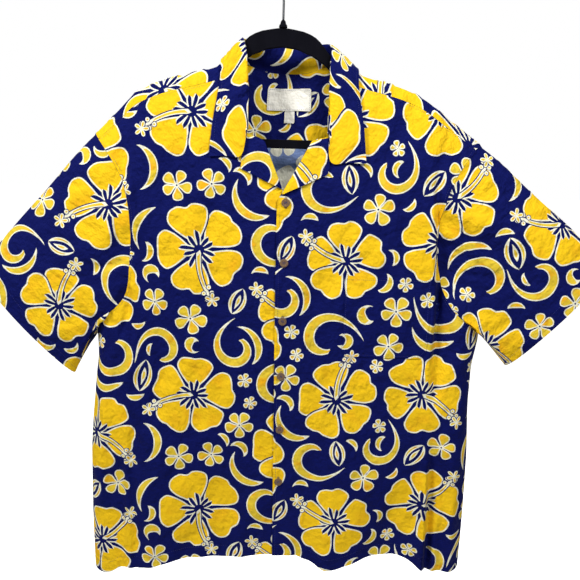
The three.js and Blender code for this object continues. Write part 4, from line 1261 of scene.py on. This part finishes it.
pocket = {
    "across": (93, 224), "top": -440, "bottom": -575, "out": 1.5, "thick": 0.7, "hem": 13.6, "seam": 2.6,
    "corner": 9, "off": (0.8, -0.6),   # the print nearly meets the front's
}


def buildPocket():
    s = pocket
    (a, b), c, m = s["across"], s["corner"], s["seam"]
    top, low = s["top"], s["bottom"]
    outline = np.array([(a, top), (a, low + c), (a + c, low), (b - c, low), (b, low + c), (b, top)], float)
    seam = outline + [(m, 0), (m, m / 2), (m / 2, m), (-m / 2, m), (-m, m / 2), (-m, 0)]
    hem = np.array([(a + m, top - s["hem"]), (b - m, top - s["hem"])])
    sewCloth("pocketCloth", "pocket", outline, patchForm(-1, s["out"]), np.add(panel["left"], s["off"]),
             lines=[seam, hem], step=6.0, thick=s["thick"])


buildPocket()

# yoke lining: parts of the yoke's depth at its top edge, at the neck and over the shoulders
lining = {"half": 232, "neckTop": -0.012, "top": 0.08, "out": 2.6, "thick": 0.6, "shift": (-20, 75)}


def buildLining():
    s = lining
    columns = np.linspace(-s["half"], s["half"], 150)
    onNeck = (columns > body["neck"][0]) & (columns < body["neck"][1])
    upper = np.column_stack(yokePlace(columns, np.where(onNeck, s["neckTop"], s["top"])))
    lower = np.column_stack(yokePlace(columns, 1))
    outline = np.vstack([upper, lower[::-1]])
    sewCloth("liningCloth", "yoke_lining", outline, patchForm(1, s["out"]), s["shift"], step=6.5,
             thick=s["thick"], reverse=0.0)


# blank neck label with a sewn border, and the tab under it
labels = {
    "label": {
        "name": "labelCloth", "x": 0, "half": 34.5, "top": -174, "bottom": -207.4, "out": 5.0, "thick": 0.5,
        "border": 2.0,
    },
    "size_tab": {
        "name": "tabCloth", "x": 2, "half": 8.5, "top": -207.9, "bottom": -226, "out": 4.9, "thick": 0.4,
    },
}


def buildLabels():
    for node, s in labels.items():
        sides = (s["x"] - s["half"], s["x"] + s["half"], s["top"], s["bottom"])
        lines = []
        if "border" in s:
            border = boxOutline(*np.add(sides, s["border"] * np.array([1, -1, -1, 1])))
            lines = [np.vstack([border, border[:1]])]
        sewCloth(s["name"], node, boxOutline(*sides), patchForm(1, s["out"]), None, lines=lines, step=3.0,
                 thick=s["thick"])


buildLining()
buildLabels()
print("pocket, lining and labels done")


def threadPiece(name, vertices, faces):
    mesh = bpy.data.meshes.new(name)
    mesh.from_pydata([tuple(v) for v in vertices], [], faces)
    mesh.shade_smooth()
    dress(putIn(name, mesh), threadMaterial, "print_cloth")


def buildStitches():
    # each stitch is a short thread that dips into the cloth at both ends
    s = stitch
    vertices, faces = [], []
    rows = [(form, line, s["every"], s["long"], False) for form, line in stitchLines]
    rows += [(form, line, s["holeEvery"], s["holeLong"], True) for form, line in buttonholes]
    for form, line, every, longest, over in rows:
        at = resample(line, every)
        centre = form.place(at) if over else sewn(form, [line], at)
        facing = form.facing(at)
        along = unit(np.gradient(centre, axis=0))
        side = np.cross(along, facing)
        if over:
            along, side = side, along
        for c, n, a, b in zip(centre, facing, along, side):
            k = len(vertices)
            for part, wide, high in ((-0.5, 0, -0.35), (-0.3, 0.5, 0.1), (0.3, 0.5, 0.1), (0.5, 0, -0.35)):
                middle = c + a * part * longest + n * (high + s["proud"])
                half = s["thick"] * wide
                corners = ((1, 0), (0, 1), (-1, 0), (0, -1)) if wide else ((0, 0),)
                vertices.extend((middle + b * half * i + n * half * j) * mm for i, j in corners)
            for i in range(4):
                j = (i + 1) % 4
                faces.append((k, k + 1 + i, k + 1 + j))
                faces.append((k + 1 + i, k + 5 + i, k + 5 + j, k + 1 + j))
                faces.append((k + 5 + i, k + 9, k + 5 + j))
    threadPiece("stitching", vertices, faces)


# buttons: turned coconut, four holes, sewn through; heights are their centres
button = {
    "x": 0, "first": -342, "last": -788, "count": 6, "radius": 6.3, "thick": 2.2, "stand": 0.8,
    "rim": 0.55, "rimAt": 0.8, "dish": 0.45, "hole": 0.75, "holeOut": 1.7, "holeThread": 0.42,
    "rings": (0.3, 0.45, 0.58, 0.68, 0.76, 0.84, 0.9, 0.95, 0.98), "backPart": 0.93,
    "holeLength": 15.5, "holeWide": 1.3,   # the buttonhole's stitching
}
frontTop = torsoForm(-1, 1.0)
buttonholes = []


def turnButton(k, middle, out, u, v):
    # dished face with a round rim and four holes
    s = button
    corners = np.radians([45, 135, 225, 315])
    holes = [disc(np.array([math.cos(a), math.sin(a)]) * s["holeOut"], s["hole"], 12) for a in corners]
    rings = [disc((0, 0), s["radius"] * part, 40) for part in s["rings"]]
    flat, triangles, ink = cutFlat(disc((0, 0), s["radius"], 40), [], 0.9, rings, holes)

    def laid(spot):
        r = np.linalg.norm(spot, axis=1) / s["radius"]
        rim = np.sqrt(1 - ((r - s["rimAt"]) / (1 - s["rimAt"])).clip(0, 1) ** 2) - 1
        high = s["rim"] * rim - s["dish"] * (1 - ease(r / s["rimAt"] * 1.15 - 0.15))
        base = middle + out * (s["stand"] + s["thick"])
        return base + spot[:, :1] * u + spot[:, 1:] * v + out * high[:, None]

    bottom = middle + out * s["stand"] + (flat[:, :1] * u + flat[:, 1:] * v) * s["backPart"]
    normals, under = facingOf(laid, flat * 0.985, 0.06), np.tile(-out, (len(flat), 1))
    piece = buildShell(f"button{k}Turned", flat, triangles, ink, laid(flat), normals, 0, 0, bottom, under)
    dress(piece, coconutMaterial, "coconut", f"button_{k}")


def sewButton(threads, faces, middle, out, u, v):
    # two bars of two strands over the holes, down through them to the cloth
    s = button
    r, top = s["holeThread"], s["stand"] + s["thick"] - s["dish"] + 0.35
    path = [(0, 0.2), (0.02, top - 0.3), (0.2, top), (0.8, top), (0.98, top - 0.3), (1, 0.2)]
    around = np.radians([0, 60, 120, 180, 240, 300])
    for across in (-1, 1):
        for strand in (-0.45, 0.45):
            start = np.array([across * s["holeOut"] * 0.71 + strand * r, -s["holeOut"] * 0.75])
            first = len(threads)
            for t, lift in path:
                spot = start + np.array([0, 1.5 * s["holeOut"] * t])
                centre = middle + u * spot[0] + v * spot[1] + out * lift
                face = out if lift == top else v * (-1 if t > 0.5 else 1)
                threads += [(centre + (u * math.cos(a) + face * math.sin(a)) * r * 0.8) * mm for a in around]
            for a in range(first, first + 6 * (len(path) - 1), 6):
                faces += [(a + i, a + (i + 1) % 6, a + 6 + (i + 1) % 6, a + 6 + i) for i in range(6)]


def buildButtons():
    s = button
    threads, faces = [], []
    for k in range(s["count"]):
        z = mix(s["first"], s["last"], k / (s["count"] - 1))
        at = np.array([[s["x"], z]])
        middle, out = frontTop.place(at)[0], frontTop.facing(at)[0]
        turn = 0.5 * math.sin(5.1 * k + 1)
        across = unit(np.cross((0, 0, 1), out))
        up = np.cross(out, across)
        u, v = across * math.cos(turn) + up * math.sin(turn), up * math.cos(turn) - across * math.sin(turn)
        turnButton(k + 1, middle, out, u, v)
        sewButton(threads, faces, middle, out, u, v)
        half, wide = s["holeLength"] / 2, s["holeWide"]
        loop = [(s["x"] + i * wide, z + j * half) for i, j in ((-1, -1), (-1, 1), (1, 1), (1, -1), (-1, -1))]
        buttonholes.append((frontTop, resample(loop, stitch["holeEvery"])))
    threadPiece("buttonThreads", threads, faces)


buildButtons()
print("buttons done")
buildStitches()
print("stitching done")

for node, look in (("hanger", flockMaterial), ("hook_socket", flockMaterial), ("hook", wireMaterial)):
    for spot in bpy.data.objects[node].material_slots:
        spot.material = look

# room: plain white floor and soft light; what the camera sees past the floor is white too
studio = {
    "floor": -1.75, "half": 30, "ambient": 0.08,
    # place, aim, width, power
    "lights": [((-1.4, -1.2, 1.0), (0, 0, -0.15), 0.5, 42), ((0.55, -1.0, 0.75), (0.1, 0, -0.15), 0.4, 16),
               ((0.9, -1.9, 0.5), (0, 0, -0.3), 0.8, 5), ((0.6, 2.2, 1.2), (0, 0, -0.5), 1.0, 60)],
}


def buildStudio():
    s = studio
    n = s["half"]
    mesh = bpy.data.meshes.new("floor")
    corners = [(x, y, s["floor"]) for x, y in ((-n, -n), (n, -n), (n, n), (-n, n))]
    mesh.from_pydata(corners, [], [(0, 1, 2, 3)])
    paper = Nodes("paper")
    mottle = paper.noise(paper.add("TexCoord", output="Object"), 3)
    paper.give("Base Color", paper.blend(mottle, (0.93, 0.93, 0.93), (0.97, 0.97, 0.97)))
    paper.give("Roughness", 0.9)
    paper.give("Emission Color", (1, 1, 1, 1))
    paper.give("Emission Strength", paper.add("LightPath", output="Is Camera Ray"))
    mesh.materials.append(paper.material)
    putIn("floor", mesh)
    for k, (at, aim, wide, power) in enumerate(s["lights"]):
        name = f"softbox{k + 1}"
        light = putIn(name, bpy.data.lights.new(name, "AREA"))
        light.data.size = wide
        light.data.energy = power
        light.location = at
        light.rotation_euler = (Vector(aim) - Vector(at)).to_track_quat("-Z", "Y").to_euler()
        light.visible_camera = False
    world = bpy.data.worlds.new("studio")
    world.use_nodes = True
    tree = world.node_tree
    seen = tree.nodes.new("ShaderNodeLightPath").outputs["Is Camera Ray"]
    strength = tree.nodes.new("ShaderNodeMapRange")
    tree.links.new(seen, strength.inputs[0])
    strength.inputs[3].default_value = s["ambient"]
    strength.inputs[4].default_value = 1.0
    tree.links.new(strength.outputs[0], tree.nodes["Background"].inputs[1])
    tree.nodes["Background"].inputs[0].default_value = (1, 1, 1, 1)
    bpy.context.scene.world = world
    bpy.context.scene.view_settings.view_transform = "Standard"


buildStudio()

# camera at the photograph's place and angle
view = {"at": (0.021, -0.915, -0.2855), "pitch": 78, "roll": 1.7, "lens": 36.93, "sensor": 36}
camera = putIn("camera", bpy.data.cameras.new("camera"))
camera.data.lens = view["lens"]
camera.data.sensor_width = view["sensor"]
pitch = Matrix.Rotation(math.radians(view["pitch"]), 4, "X")
roll = Matrix.Rotation(math.radians(view["roll"]), 4, "Z")
camera.matrix_world = Matrix.Translation(view["at"]) @ pitch @ roll
bpy.context.scene.camera = camera
